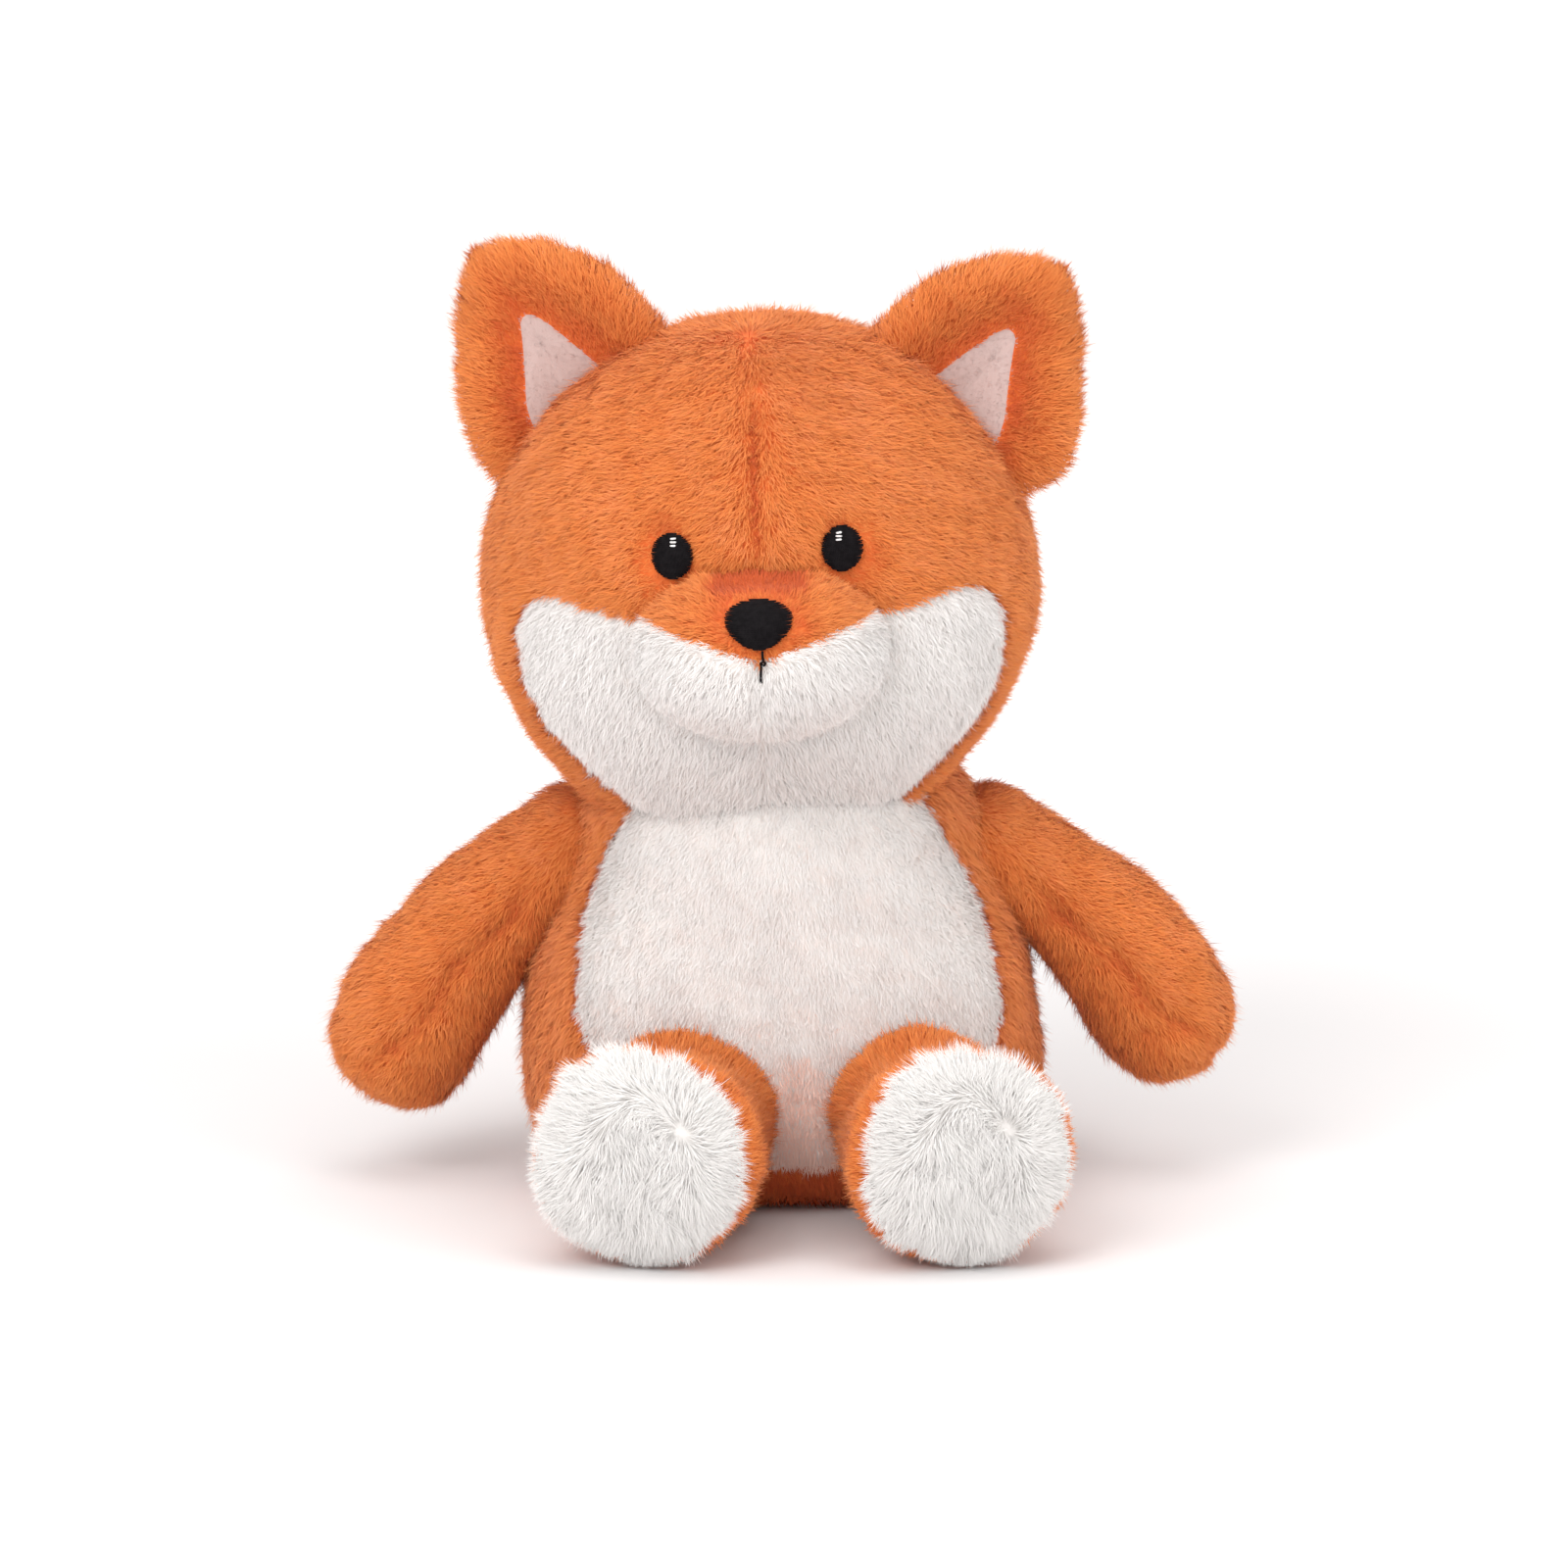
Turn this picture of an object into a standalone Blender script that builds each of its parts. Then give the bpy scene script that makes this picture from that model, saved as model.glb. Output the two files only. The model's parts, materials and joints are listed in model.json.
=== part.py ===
"""A seated plush fox, modelled as its sewn panels, its stuffing and its stitched trim.

It sits on the plane z = 0 on its seat, its feet and its tail, and faces -Y. Left and right are
the viewer's, so the left side is at -X. The origin is on the seat's flat face, below the neck.
Lengths are in metres and angles in radians, unless a name ends in _DEG.
"""

import math

import bmesh
import bpy
from mathutils import Matrix, Vector
from mathutils.bvhtree import BVHTree

# Fabric, and the clearances between pieces that touch
PLUSH_T = 0.004
GAP = 0.0003
SEAM_GAP = 0.0004
OVERRUN = 0.03
CURVED_SEAM_GAP = 0.0006
FLAT_CUT = 0.0005
FACET_SLACK_SHARE = 0.04
DOME_SLACK_SHARE = 0.0125
LIMB_CLEARANCE = 0.0016
SMOOTHING_GROWTH_SHARE = 1.075

# Neck: the body ends in a dome, and the head sits on it over a wad of filling
NECK_Z = 0.085
DOME_R = 0.050
NECK_WAD_T = 0.0022
NECK_WAD_DEG = 56.0
DOME_START_DEG = 88.0
DOME_ROWS = 4

# Body, a pear that slumps a little to the right at the seat
BODY_HALF_W = 0.0665
BODY_HALF_D = 0.0525
BODY_SLUMP_X = 0.0057
SEAT_PANEL_H = 0.007
BELLY_HALF_W = 0.0555
BELLY_TOP_Z = 0.1080
BELLY_FOOT_Z = 0.0075

# Head
HEAD_HALF_W = 0.0710
HEAD_HALF_D = 0.0630
HEAD_HALF_H = 0.0710
HEAD_X = -0.0055
HEAD_Y = -0.0050
HEAD_Z = 0.1585
HEAD_ROLL_DEG = -1.6
HEAD_SEAM_Y = 0.004
CHEEK_HALF_W = 0.0636
CHEEK_TOP_Z = 0.0050
CHEEK_MID_Z = 0.0005
CHEEK_FOOT_Z = -0.0700

# Muzzle, measured from the head's centre
MUZZLE_HALF_W = 0.0310
MUZZLE_HALF_H = 0.0225
MUZZLE_HALF_D = 0.0290
MUZZLE_Y = -0.0560
MUZZLE_Z = -0.0085
MUZZLE_SEAM_END_Z = 0.0045
MUZZLE_SEAM_MID_Z = -0.0045
FACE_FRONT_Y = MUZZLE_Y - MUZZLE_HALF_D - OVERRUN

# Face stitching
EYE_X = 0.0215
EYE_Z = 0.0165
EYE_TILT_Z = 0.0004
EYE_HALF_W = 0.0049
EYE_HALF_H = 0.0058
STITCH_T = 0.0013
EYE_SPOT_T = 0.0006
EYE_SPOT_HALF_W = 0.0009
EYE_SPOT_HALF_H = 0.0015
EYE_SPOT_X = -0.0003
EYE_SPOT_Z = 0.0030
NOSE_HALF_W = 0.0083
NOSE_HALF_H = 0.0062
NOSE_Z = 0.0095
NOSE_T = 0.0024
NOSE_MIDDLE_SHARE = 0.78
NOSE_TAPER_SHARE = 0.30
MOUTH_TOP_Z = -0.0040
MOUTH_FOOT_Z = -0.0125
MOUTH_R = 0.0005

# Ears, measured along and above the chord between their two ends on the head
EAR_HALF_W = 0.0275
EAR_H = 0.0520
EAR_T = 0.0140
EAR_CUP = 0.0070
EAR_ROOT = 0.0110
EAR_ANGLE_DEG = 45.5
EAR_CHORD_R = 0.0675
EAR_Y = 0.0030
EARS_ROLL_DEG = 1.8
EAR_FOLD_DEG = 14.0
EAR_HINGE_LIFT = 0.0006
EAR_INNER_T = 0.0030
EAR_HINGE_R = HEAD_HALF_W + GAP + EAR_HINGE_LIFT
EAR_CHORD_Z = EAR_CHORD_R - EAR_HINGE_R

# Arms, from the shoulder joint to the end of the hand
SHOULDER_INSET = 0.0115
SHOULDER_X = BODY_HALF_W - SHOULDER_INSET
SHOULDER_Y = 0.0
SHOULDER_Z = 0.0905
ARM_LENGTH = 0.0850
ARM_ROOT_R = 0.0135
ARM_UPPER_R = 0.0155
ARM_MIDDLE_R = 0.0178
ARM_HAND_R = 0.0198
ARM_BOW = 0.0050
ARM_LEFT_DEG = 49.5
ARM_RIGHT_DEG = 45.0
ARM_LOWER_DEG = 8.0
LIMB_WAD_T = 0.0025
LIMB_WAD_DEG = 58.0

# Legs, from the hip joint to the sole
HIP_SIDE_INSET = 0.0365
HIP_FRONT_INSET = 0.0025
HIP_X = BODY_HALF_W - HIP_SIDE_INSET
HIP_MID_X = BODY_SLUMP_X
HIP_Y = HIP_FRONT_INSET - BODY_HALF_D
HIP_Z = 0.0280
LEG_LENGTH = 0.0615
LEG_ROOT_R = 0.0210
LEG_MIDDLE_R = 0.0262
LEG_FOOT_R = SMOOTHING_GROWTH_SHARE * (HIP_Z + FLAT_CUT)
LEG_SPLAY_DEG = 9.5
LEG_RAISE_DEG = 30.0
LEG_LOWER_DEG = 25.0
SOLE_T = 0.0055

# Tail, lying on the floor behind the body
TAIL_INSET = 0.0035
TAIL_X = BODY_SLUMP_X
TAIL_Y = BODY_HALF_D - TAIL_INSET
TAIL_Z = 0.0165
TAIL_LENGTH = 0.0800
TAIL_ROOT_R = 0.0095
TAIL_FAT_R = SMOOTHING_GROWTH_SHARE * (TAIL_Z + FLAT_CUT)
TAIL_TIP_LENGTH = 0.0280
TAIL_BEND_DEG = 24.0

# Colour, roughness
ORANGE = (0.83, 0.20, 0.05)
WHITE = (0.88, 0.84, 0.80)
BLACK = (0.015, 0.014, 0.015)
FILLING = (0.80, 0.80, 0.78)
PLUSH_ROUGHNESS = 0.95
THREAD_ROUGHNESS = 0.45

# How finely round forms are divided before they are smoothed
BIG_SEGMENTS = 12
LIMB_SEGMENTS = 6
MUZZLE_SEGMENTS = 8
BALL_SEGMENTS = 16
DOME_SEGMENTS = 24
TRIM_SEGMENTS = 12
TRIM_RINGS = 6

ORANGE_KIND = (ORANGE, PLUSH_ROUGHNESS)
WHITE_KIND = (WHITE, PLUSH_ROUGHNESS)
FILLING_KIND = (FILLING, PLUSH_ROUGHNESS)
THREAD_KIND = (BLACK, THREAD_ROUGHNESS)
WHITE_THREAD_KIND = (WHITE, THREAD_ROUGHNESS)


def clear_scene():
    for obj in list(bpy.data.objects):
        bpy.data.objects.remove(obj, do_unlink=True)


def new_collection(name, hidden=False):
    found = bpy.data.collections.new(name)
    found.hide_render = hidden
    bpy.context.scene.collection.children.link(found)
    return found


def material(name, colour, roughness):
    made = bpy.data.materials.new(name)
    made.use_nodes = True
    shader = made.node_tree.nodes["Principled BSDF"]
    shader.inputs["Base Color"].default_value = (*colour, 1.0)
    shader.inputs["Roughness"].default_value = roughness
    shader.inputs["Metallic"].default_value = 0.0
    return made


def add_object(name, mesh, place, parent=None):
    """Puts a mesh in the scene, in the frame of its parent empty if it has one."""
    obj = bpy.data.objects.new(name, mesh)
    place.objects.link(obj)
    obj.parent = parent
    if place is CUTTERS:
        obj.hide_render = True
        obj.display_type = "WIRE"
    return obj


def empty(name, at, turn=Matrix.Identity(3), parent=None):
    """A frame that pieces are parented to; at and turn are in its parent's frame."""
    obj = bpy.data.objects.new(name, None)
    PARTS.objects.link(obj)
    obj.parent = parent
    obj.matrix_local = Matrix.Translation(at) @ turn.to_4x4()
    bpy.context.view_layer.update()
    return obj


def piece(name, mesh, kind, parent=None):
    """A sub-part: its own object, with its own copy of the mesh and its own material."""
    obj = add_object(name, mesh.copy(), PARTS, parent)
    obj.data.name = name
    obj.data.materials.clear()
    obj.data.materials.append(material(name, *kind))
    return obj


def mesh_of(name, bm):
    mesh = bpy.data.meshes.new(name)
    if bm.calc_volume(signed=True) < 0.0:
        bmesh.ops.reverse_faces(bm, faces=bm.faces)
    bm.normal_update()
    bm.to_mesh(mesh)
    bm.free()
    mesh.shade_smooth()
    return mesh


def smoothing_loss(angle):
    """The share of a round cage's radius that is left once it is smoothed, by its step angle."""
    return 0.75 + 0.25 * math.cos(angle)


def cage(name, rows, segments, side=1.0, upright=False):
    """A closed coarse form along local X, from rows of (along, up radius, depth radius, bow).

    The first and last rows are its two ends. side -1 mirrors it in local X. An upright one
    runs along Z, and its up radius and bow lie along X.
    """
    bm = bmesh.new()
    last = len(rows) - 1
    grow = 1.0 / smoothing_loss(math.tau / segments)
    bmesh.ops.create_uvsphere(bm, u_segments=segments, v_segments=last, radius=1.0)
    for vert in bm.verts:
        row = round(math.acos(max(-1.0, min(1.0, -vert.co.z))) / math.pi * last)
        along, up, depth, bow = rows[row]
        flat = math.hypot(vert.co.x, vert.co.y)
        across = (vert.co.x / flat, vert.co.y / flat) if 0 < row < last else (0.0, 0.0)
        raised = across[0] * up * grow + bow
        deep = across[1] * depth * grow
        vert.co = (raised, deep, along) if upright else (side * along, deep, raised)
    return mesh_of(name, bm)


def smoothed(obj):
    soft = obj.modifiers.new("smooth", "SUBSURF")
    soft.levels = 1
    soft.render_levels = 1
    return obj


def cut(obj, operation, *others):
    for other in others:
        step = obj.modifiers.new(other.name, "BOOLEAN")
        step.operation = operation
        step.object = other
    return obj


def evaluated_mesh(obj):
    bpy.context.view_layer.update()
    graph = bpy.context.evaluated_depsgraph_get()
    return bpy.data.meshes.new_from_object(obj.evaluated_get(graph))


def grown(name, form, distance):
    """A cutter that is a form's surface moved outwards by distance, or inwards if negative."""
    bm = bmesh.new()
    bm.from_mesh(evaluated_mesh(form))
    bm.normal_update()
    moved = [vert.co + vert.normal * distance for vert in bm.verts]
    for vert, place in zip(bm.verts, moved):
        vert.co = place
    return add_object(name, mesh_of(name, bm), CUTTERS, form.parent)


def block(name, low, high, parent=None):
    bm = bmesh.new()
    bmesh.ops.create_cube(bm, size=1.0)
    for vert in bm.verts:
        vert.co = [a + (c + 0.5) * (b - a) for a, b, c in zip(low, high, vert.co)]
    return add_object(name, mesh_of(name, bm), CUTTERS, parent)


def ball(name, radius, centre, segments=BALL_SEGMENTS, parent=None):
    bm = bmesh.new()
    bmesh.ops.create_uvsphere(
        bm, u_segments=segments, v_segments=segments // 2, radius=radius
    )
    mesh = mesh_of(name, bm)
    mesh.transform(Matrix.Translation(centre))
    return add_object(name, mesh, CUTTERS, parent)


def outline_block(name, points, low_y, high_y, parent=None):
    """A cutter whose outline is a smooth closed curve through points (x, z), along Y."""
    curve = bpy.data.curves.new(name, "CURVE")
    curve.dimensions = "2D"
    curve.fill_mode = "BOTH"
    curve.extrude = (high_y - low_y) / 2
    curve.resolution_u = 3
    line = curve.splines.new("BEZIER")
    line.use_cyclic_u = True
    line.bezier_points.add(len(points) - 1)
    for place, (x, z) in zip(line.bezier_points, points):
        place.co = (x, z, 0.0)
        place.handle_left_type = "AUTO"
        place.handle_right_type = "AUTO"
    drawn = bpy.data.objects.new(name, curve)
    CUTTERS.objects.link(drawn)
    mesh = evaluated_mesh(drawn)
    bpy.data.objects.remove(drawn)
    bm = bmesh.new()
    bm.from_mesh(mesh)
    bmesh.ops.remove_doubles(bm, verts=bm.verts, dist=GAP / 10)
    stand = Matrix.Translation((0.0, (low_y + high_y) / 2, 0.0)) @ Matrix.Rotation(
        math.pi / 2, 4, "X"
    )
    bmesh.ops.transform(bm, matrix=stand, verts=bm.verts)
    return add_object(name, mesh_of(name, bm), CUTTERS, parent)


def turned_copy(name, cutter, pivot, axis, angle):
    """A copy of a cutter, turned about an axis through pivot in the world's frame."""
    turn = Matrix.Rotation(angle, 4, axis)
    about = Matrix.Translation(pivot) @ turn @ Matrix.Translation(-Vector(pivot))
    bpy.context.view_layer.update()
    mesh = evaluated_mesh(cutter)
    mesh.transform(about @ cutter.matrix_world)
    return add_object(name, mesh, CUTTERS)


def wad(name, radius, thickness, half_deg, pivot, towards, segments, kind):
    """A cap of filling round a ball joint: radius is its inner one, towards is its middle."""
    bm = bmesh.new()
    bmesh.ops.create_uvsphere(
        bm, u_segments=segments, v_segments=segments // 2, radius=radius + thickness
    )
    edge = (radius + thickness) * math.cos(math.radians(half_deg))
    low = [vert for vert in bm.verts if vert.co.z < edge]
    bmesh.ops.delete(bm, geom=low, context="VERTS")
    obj = piece(name, mesh_of(name, bm), kind)
    shell = obj.modifiers.new("thickness", "SOLIDIFY")
    shell.thickness = thickness
    shell.offset = -1.0
    obj.matrix_world = Matrix.Translation(pivot) @ (
        Vector(towards).to_track_quat("Z", "Y").to_matrix().to_4x4()
    )
    return obj


def surface_place(form, x, z):
    """Where a line along +Y at (x, z) in the form's own frame meets its front, and the normal."""
    tree = BVHTree.FromObject(form, bpy.context.evaluated_depsgraph_get())
    start = Vector((x, FACE_FRONT_Y, z))
    place, normal, _, _ = tree.ray_cast(start, Vector((0.0, 1.0, 0.0)))
    return place, normal


def stitched_pad(name, half_w, half_h, thick, form, x, z, kind, shape=None):
    """A low dome of stitches on a form's front, centred on the form's surface at (x, z)."""
    place, normal = surface_place(form, x, z)
    bm = bmesh.new()
    bmesh.ops.create_uvsphere(
        bm, u_segments=TRIM_SEGMENTS, v_segments=TRIM_RINGS, radius=1.0
    )
    for vert in bm.verts:
        wide, deep, high = vert.co
        pull = shape(high) if shape else 1.0
        vert.co = (wide * half_w * pull, deep * thick, high * half_h)
    mesh = mesh_of(name, bm)
    level = Vector((-normal.x, -normal.y, -normal.z)).to_track_quat("Y", "Z")
    mesh.transform(Matrix.Translation(place) @ level.to_matrix().to_4x4())
    obj = piece(name, mesh, kind, form.parent)
    return obj


def round_rows(half_length, half_up, half_depth, count, lower_share=1.0):
    """Rows of an egg: half_up and half_depth at its middle, its first half narrower."""
    rows = []
    grow = 1.0 / smoothing_loss(math.pi / count)
    for i in range(count + 1):
        turn = math.pi * i / count
        wide = math.sin(turn)
        if i < count / 2:
            wide *= 1.0 - (1.0 - lower_share) * math.sin(2 * turn) ** 2
        along = -half_length * grow * math.cos(turn)
        rows.append((along, half_up * grow * wide, half_depth * grow * wide, 0.0))
    return rows


def shell_pieces(form, kinds, regions, parent=None, holes=()):
    """The sewn skin of a form: each named piece is the part of it that its steps leave."""
    inner = grown(form.name + "_lining", form, -PLUSH_T)
    skin = smoothed(add_object(form.name + "_skin", form.data.copy(), CUTTERS, parent))
    whole = evaluated_mesh(cut(skin, "DIFFERENCE", inner, *holes))
    for name, steps in regions.items():
        obj = piece(name, whole, kinds[name], parent)
        for operation, cutter in steps:
            cut(obj, operation, cutter)


def stuffing(name, form, holes=(), parent=None):
    core = grown(name + "_core", form, -(PLUSH_T + GAP))
    obj = piece(name, core.data, FILLING_KIND, parent)
    return cut(obj, "DIFFERENCE", *holes)


# Body

def body_slump(z):
    """How far the body's middle lies to the right at height z."""
    return BODY_SLUMP_X * max(0.0, 1.0 - z / NECK_Z)


def body_form():
    """The pear and the dome on it; its foot reaches FLAT_CUT below the floor."""
    start = math.radians(DOME_START_DEG)
    dome = DOME_R / smoothing_loss(start / (DOME_ROWS - 1))
    ring_shares = ((0.12, 0.945, 0.93), (0.42, 1.045, 1.03), (0.74, 0.975, 1.02))
    foot_share = 0.66
    foot = foot_share * BODY_HALF_W
    rows = [
        (-FLAT_CUT, 0.0, 0.0, BODY_SLUMP_X),
        (-FLAT_CUT, foot, foot_share * BODY_HALF_D, BODY_SLUMP_X),
    ]
    for up, wide, deep in ring_shares:
        z = up * NECK_Z
        rows.append((z, wide * BODY_HALF_W, deep * BODY_HALF_D, body_slump(z)))
    for i in range(DOME_ROWS):
        turn = start * (1.0 - i / (DOME_ROWS - 1))
        ring = dome * math.sin(turn)
        rows.append((NECK_Z + dome * math.cos(turn), ring, ring, 0.0))
    mesh = cage("body_form", rows, BIG_SEGMENTS, upright=True)
    return smoothed(add_object("body_form", mesh, CUTTERS))


def belly_outline():
    """The white panel's outline, from its top edge round to the crotch and back."""
    shares = ((1.0, 0.62), (0.84, 0.80), (0.64, 0.93), (0.40, 1.0), (0.20, 0.88), (0.07, 0.52),
              (0.0, 0.14))
    height = BELLY_TOP_Z - BELLY_FOOT_Z
    right = []
    left = []
    for up, out in shares:
        z = BELLY_FOOT_Z + up * height
        right.append((body_slump(z) + out * BELLY_HALF_W, z))
        left.append((body_slump(z) - out * BELLY_HALF_W, z))
    return right + left[::-1]


def neck_wad_radius():
    return DOME_R * (1.0 + DOME_SLACK_SHARE) + GAP


def floor_block():
    """Everything under the floor, which the seat, the feet and the tail are cut flat by."""
    past = BODY_HALF_D + LEG_LENGTH + TAIL_LENGTH + OVERRUN
    return block("floor_cut", (-past, -past, -past), (past, past, 0.0))


def make_body(dimples):
    floor = FORMS["floor"]
    belly = outline_block("belly_cut", belly_outline(), -2 * BODY_HALF_D, 0.0)
    top = BELLY_TOP_Z + DOME_R
    seam_z = SEAT_PANEL_H
    past = BODY_HALF_W + OVERRUN
    sides = {
        "left": block("body_left_cut", (-past, -past, seam_z), (-SEAM_GAP / 2, past, top)),
        "right": block("body_right_cut", (SEAM_GAP / 2, -past, seam_z), (past, past, top)),
    }
    seat = block("seat_cut", (-past, -past, -past), (past, past, seam_z - SEAM_GAP))
    above_seat = block("above_seat_cut", (-past, -past, seam_z), (past, past, top))
    wide_belly = grown("belly_wide_cut", belly, CURVED_SEAM_GAP)
    form = FORMS["body"]
    kinds = {"belly_panel": WHITE_KIND, "seat_panel": ORANGE_KIND}
    regions = {
        "belly_panel": [("INTERSECT", belly), ("INTERSECT", above_seat)],
        "seat_panel": [("INTERSECT", seat), ("DIFFERENCE", wide_belly)],
    }
    for side, region in sides.items():
        name = f"body_panel_{side}"
        kinds[name] = ORANGE_KIND
        regions[name] = [("INTERSECT", region), ("DIFFERENCE", wide_belly)]
    shell_pieces(form, kinds, regions, holes=[floor, *dimples])
    stuffing("body_stuffing", form, holes=[floor, *dimples])
    wad("neck_stuffing", neck_wad_radius(), NECK_WAD_T, NECK_WAD_DEG, (0.0, 0.0, NECK_Z), (0.0, 0.0, 1.0),
        DOME_SEGMENTS, FILLING_KIND)


# Head

def head_frame():
    """The head's middle, carried by the neck joint."""
    joint = empty("neck_joint", (0.0, 0.0, NECK_Z))
    roll = Matrix.Rotation(math.radians(HEAD_ROLL_DEG), 3, "Y")
    return empty("head_frame", (HEAD_X, HEAD_Y, HEAD_Z - NECK_Z), roll, joint)


def head_form(frame):
    rows = round_rows(HEAD_HALF_H, HEAD_HALF_W, HEAD_HALF_D, 8, lower_share=0.93)
    mesh = cage("head_form", rows, BIG_SEGMENTS, upright=True)
    return smoothed(add_object("head_form", mesh, CUTTERS, frame))


def cheek_outline():
    """Both white cheeks as one outline, from the muzzle's middle out, down and back."""
    rise = CHEEK_TOP_Z - CHEEK_MID_Z
    corner_shares = ((0.50, 0.0), (0.78, 0.95), (0.93, 0.75), (1.0, -0.9))
    right = [(0.0, CHEEK_MID_Z - rise)]
    right += [(x * CHEEK_HALF_W, CHEEK_MID_Z + z * rise) for x, z in corner_shares]
    foot_shares = ((0.92, 0.42), (0.75, 0.60), (0.56, 0.74), (0.42, 1.0))
    right += [(x * CHEEK_HALF_W, z * CHEEK_FOOT_Z) for x, z in foot_shares]
    return right + [(-x, z) for x, z in right[:0:-1]]


def make_head():
    frame = FRAMES["head"]
    form = FORMS["head"]
    socket_r = (neck_wad_radius() + NECK_WAD_T) * (1.0 + DOME_SLACK_SHARE) + GAP
    socket = ball("neck_socket", socket_r, (0.0, 0.0, NECK_Z), DOME_SEGMENTS)
    past = HEAD_HALF_W + OVERRUN
    half = SEAM_GAP / 2
    cheeks = outline_block("cheek_cut", cheek_outline(), -past, HEAD_SEAM_Y, frame)
    wide_cheeks = grown("cheek_wide_cut", cheeks, CURVED_SEAM_GAP)
    kinds = {}
    regions = {}
    for side, low, high in (("left", -past, -half), ("right", half, past)):
        front = block(f"face_{side}_cut", (low, -past, -past), (high, HEAD_SEAM_Y - half, past),
                      frame)
        back = block(f"back_{side}_cut", (low, HEAD_SEAM_Y + half, -past), (high, past, past),
                     frame)
        kinds[f"cheek_{side}"] = WHITE_KIND
        kinds[f"forehead_{side}"] = ORANGE_KIND
        kinds[f"head_back_{side}"] = ORANGE_KIND
        regions[f"cheek_{side}"] = [("INTERSECT", front), ("INTERSECT", cheeks)]
        regions[f"forehead_{side}"] = [("INTERSECT", front), ("DIFFERENCE", wide_cheeks)]
        regions[f"head_back_{side}"] = [("INTERSECT", back), ("DIFFERENCE", wide_cheeks)]
    shell_pieces(form, kinds, regions, frame, holes=[socket])
    stuffing("head_stuffing", form, holes=[socket], parent=frame)


# Muzzle and face

def muzzle_form(frame):
    rows = round_rows(MUZZLE_HALF_H, MUZZLE_HALF_W, MUZZLE_HALF_D, 6)
    mesh = cage("muzzle_form", rows, MUZZLE_SEGMENTS, upright=True)
    mesh.transform(Matrix.Translation((0.0, MUZZLE_Y, MUZZLE_Z)))
    return smoothed(add_object("muzzle_form", mesh, CUTTERS, frame))


def muzzle_outline(lift):
    """The region above the seam between the orange and white of the muzzle."""
    ends = MUZZLE_HALF_W + OVERRUN
    top = MUZZLE_HALF_H + OVERRUN
    mid = MUZZLE_SEAM_MID_Z + lift
    end = MUZZLE_SEAM_END_Z + lift
    return [(-ends, top), (-ends, end), (-MUZZLE_HALF_W, end), (0.0, mid), (MUZZLE_HALF_W, end),
            (ends, end), (ends, top)]


def make_muzzle():
    frame = FRAMES["head"]
    form = FORMS["muzzle"]
    seat = grown("muzzle_seat", FORMS["head"], GAP)
    front = FACE_FRONT_Y
    upper = outline_block("muzzle_upper_cut", muzzle_outline(0.0), front, 0.0, frame)
    lower = outline_block("muzzle_lower_cut", muzzle_outline(-SEAM_GAP), front, 0.0, frame)
    kinds = {"muzzle_top": ORANGE_KIND, "muzzle_bottom": WHITE_KIND}
    regions = {
        "muzzle_top": [("INTERSECT", upper)],
        "muzzle_bottom": [("DIFFERENCE", lower)],
    }
    shell_pieces(form, kinds, regions, frame, holes=[seat])
    stuffing("muzzle_stuffing", form, holes=[seat], parent=frame)


def nose_pull(high):
    """The nose is a rounded triangle, wide above and narrow below."""
    return NOSE_MIDDLE_SHARE + NOSE_TAPER_SHARE * high


def make_face():
    head = FORMS["head"]
    muzzle = FORMS["muzzle"]
    on_head = grown("on_head_cut", head, GAP)
    on_muzzle = grown("on_muzzle_cut", muzzle, GAP)
    for side, sign in (("left", -1.0), ("right", 1.0)):
        x = sign * EYE_X
        z = EYE_Z + sign * EYE_TILT_Z
        eye = stitched_pad(f"eye_{side}", EYE_HALF_W, EYE_HALF_H, STITCH_T, head, x, z,
                           THREAD_KIND)
        cut(eye, "DIFFERENCE", on_head)
        spot = stitched_pad(f"eye_highlight_{side}", EYE_SPOT_HALF_W, EYE_SPOT_HALF_H,
                            EYE_SPOT_T, eye, x + EYE_SPOT_X, z + EYE_SPOT_Z, WHITE_THREAD_KIND)
        cut(spot, "DIFFERENCE", grown(f"on_eye_{side}_cut", eye, GAP))
    nose = stitched_pad("nose", NOSE_HALF_W, NOSE_HALF_H, NOSE_T, muzzle, 0.0,
                        MUZZLE_Z + NOSE_Z, THREAD_KIND, nose_pull)
    cut(nose, "DIFFERENCE", on_muzzle)
    make_mouth(muzzle)


def make_mouth(muzzle):
    curve = bpy.data.curves.new("mouth_stitch", "CURVE")
    curve.dimensions = "3D"
    curve.bevel_depth = MOUTH_R
    curve.bevel_resolution = 1
    curve.use_fill_caps = True
    count = 6
    line = curve.splines.new("POLY")
    line.points.add(count - 1)
    for i, point in enumerate(line.points):
        z = MUZZLE_Z + MOUTH_TOP_Z + (MOUTH_FOOT_Z - MOUTH_TOP_Z) * i / (count - 1)
        place, normal = surface_place(muzzle, 0.0, z)
        point.co = (*(place + normal * (MOUTH_R + GAP)), 1.0)
    curve.materials.append(material("mouth_stitch", *THREAD_KIND))
    obj = bpy.data.objects.new("mouth_stitch", curve)
    PARTS.objects.link(obj)
    obj.parent = muzzle.parent


# Ears

def ear_outline():
    """The ear seen from the front: x along its chord, outwards, and z above the chord."""
    shares = ((-1.0, 0.0), (-1.05, 0.26), (-1.02, 0.52), (-0.82, 0.80), (-0.42, 0.985),
              (-0.10, 0.92), (0.28, 0.72), (0.60, 0.52), (0.86, 0.28), (1.0, 0.0))
    return [(x * EAR_HALF_W, EAR_CHORD_Z + z * EAR_H) for x, z in shares]


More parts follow.
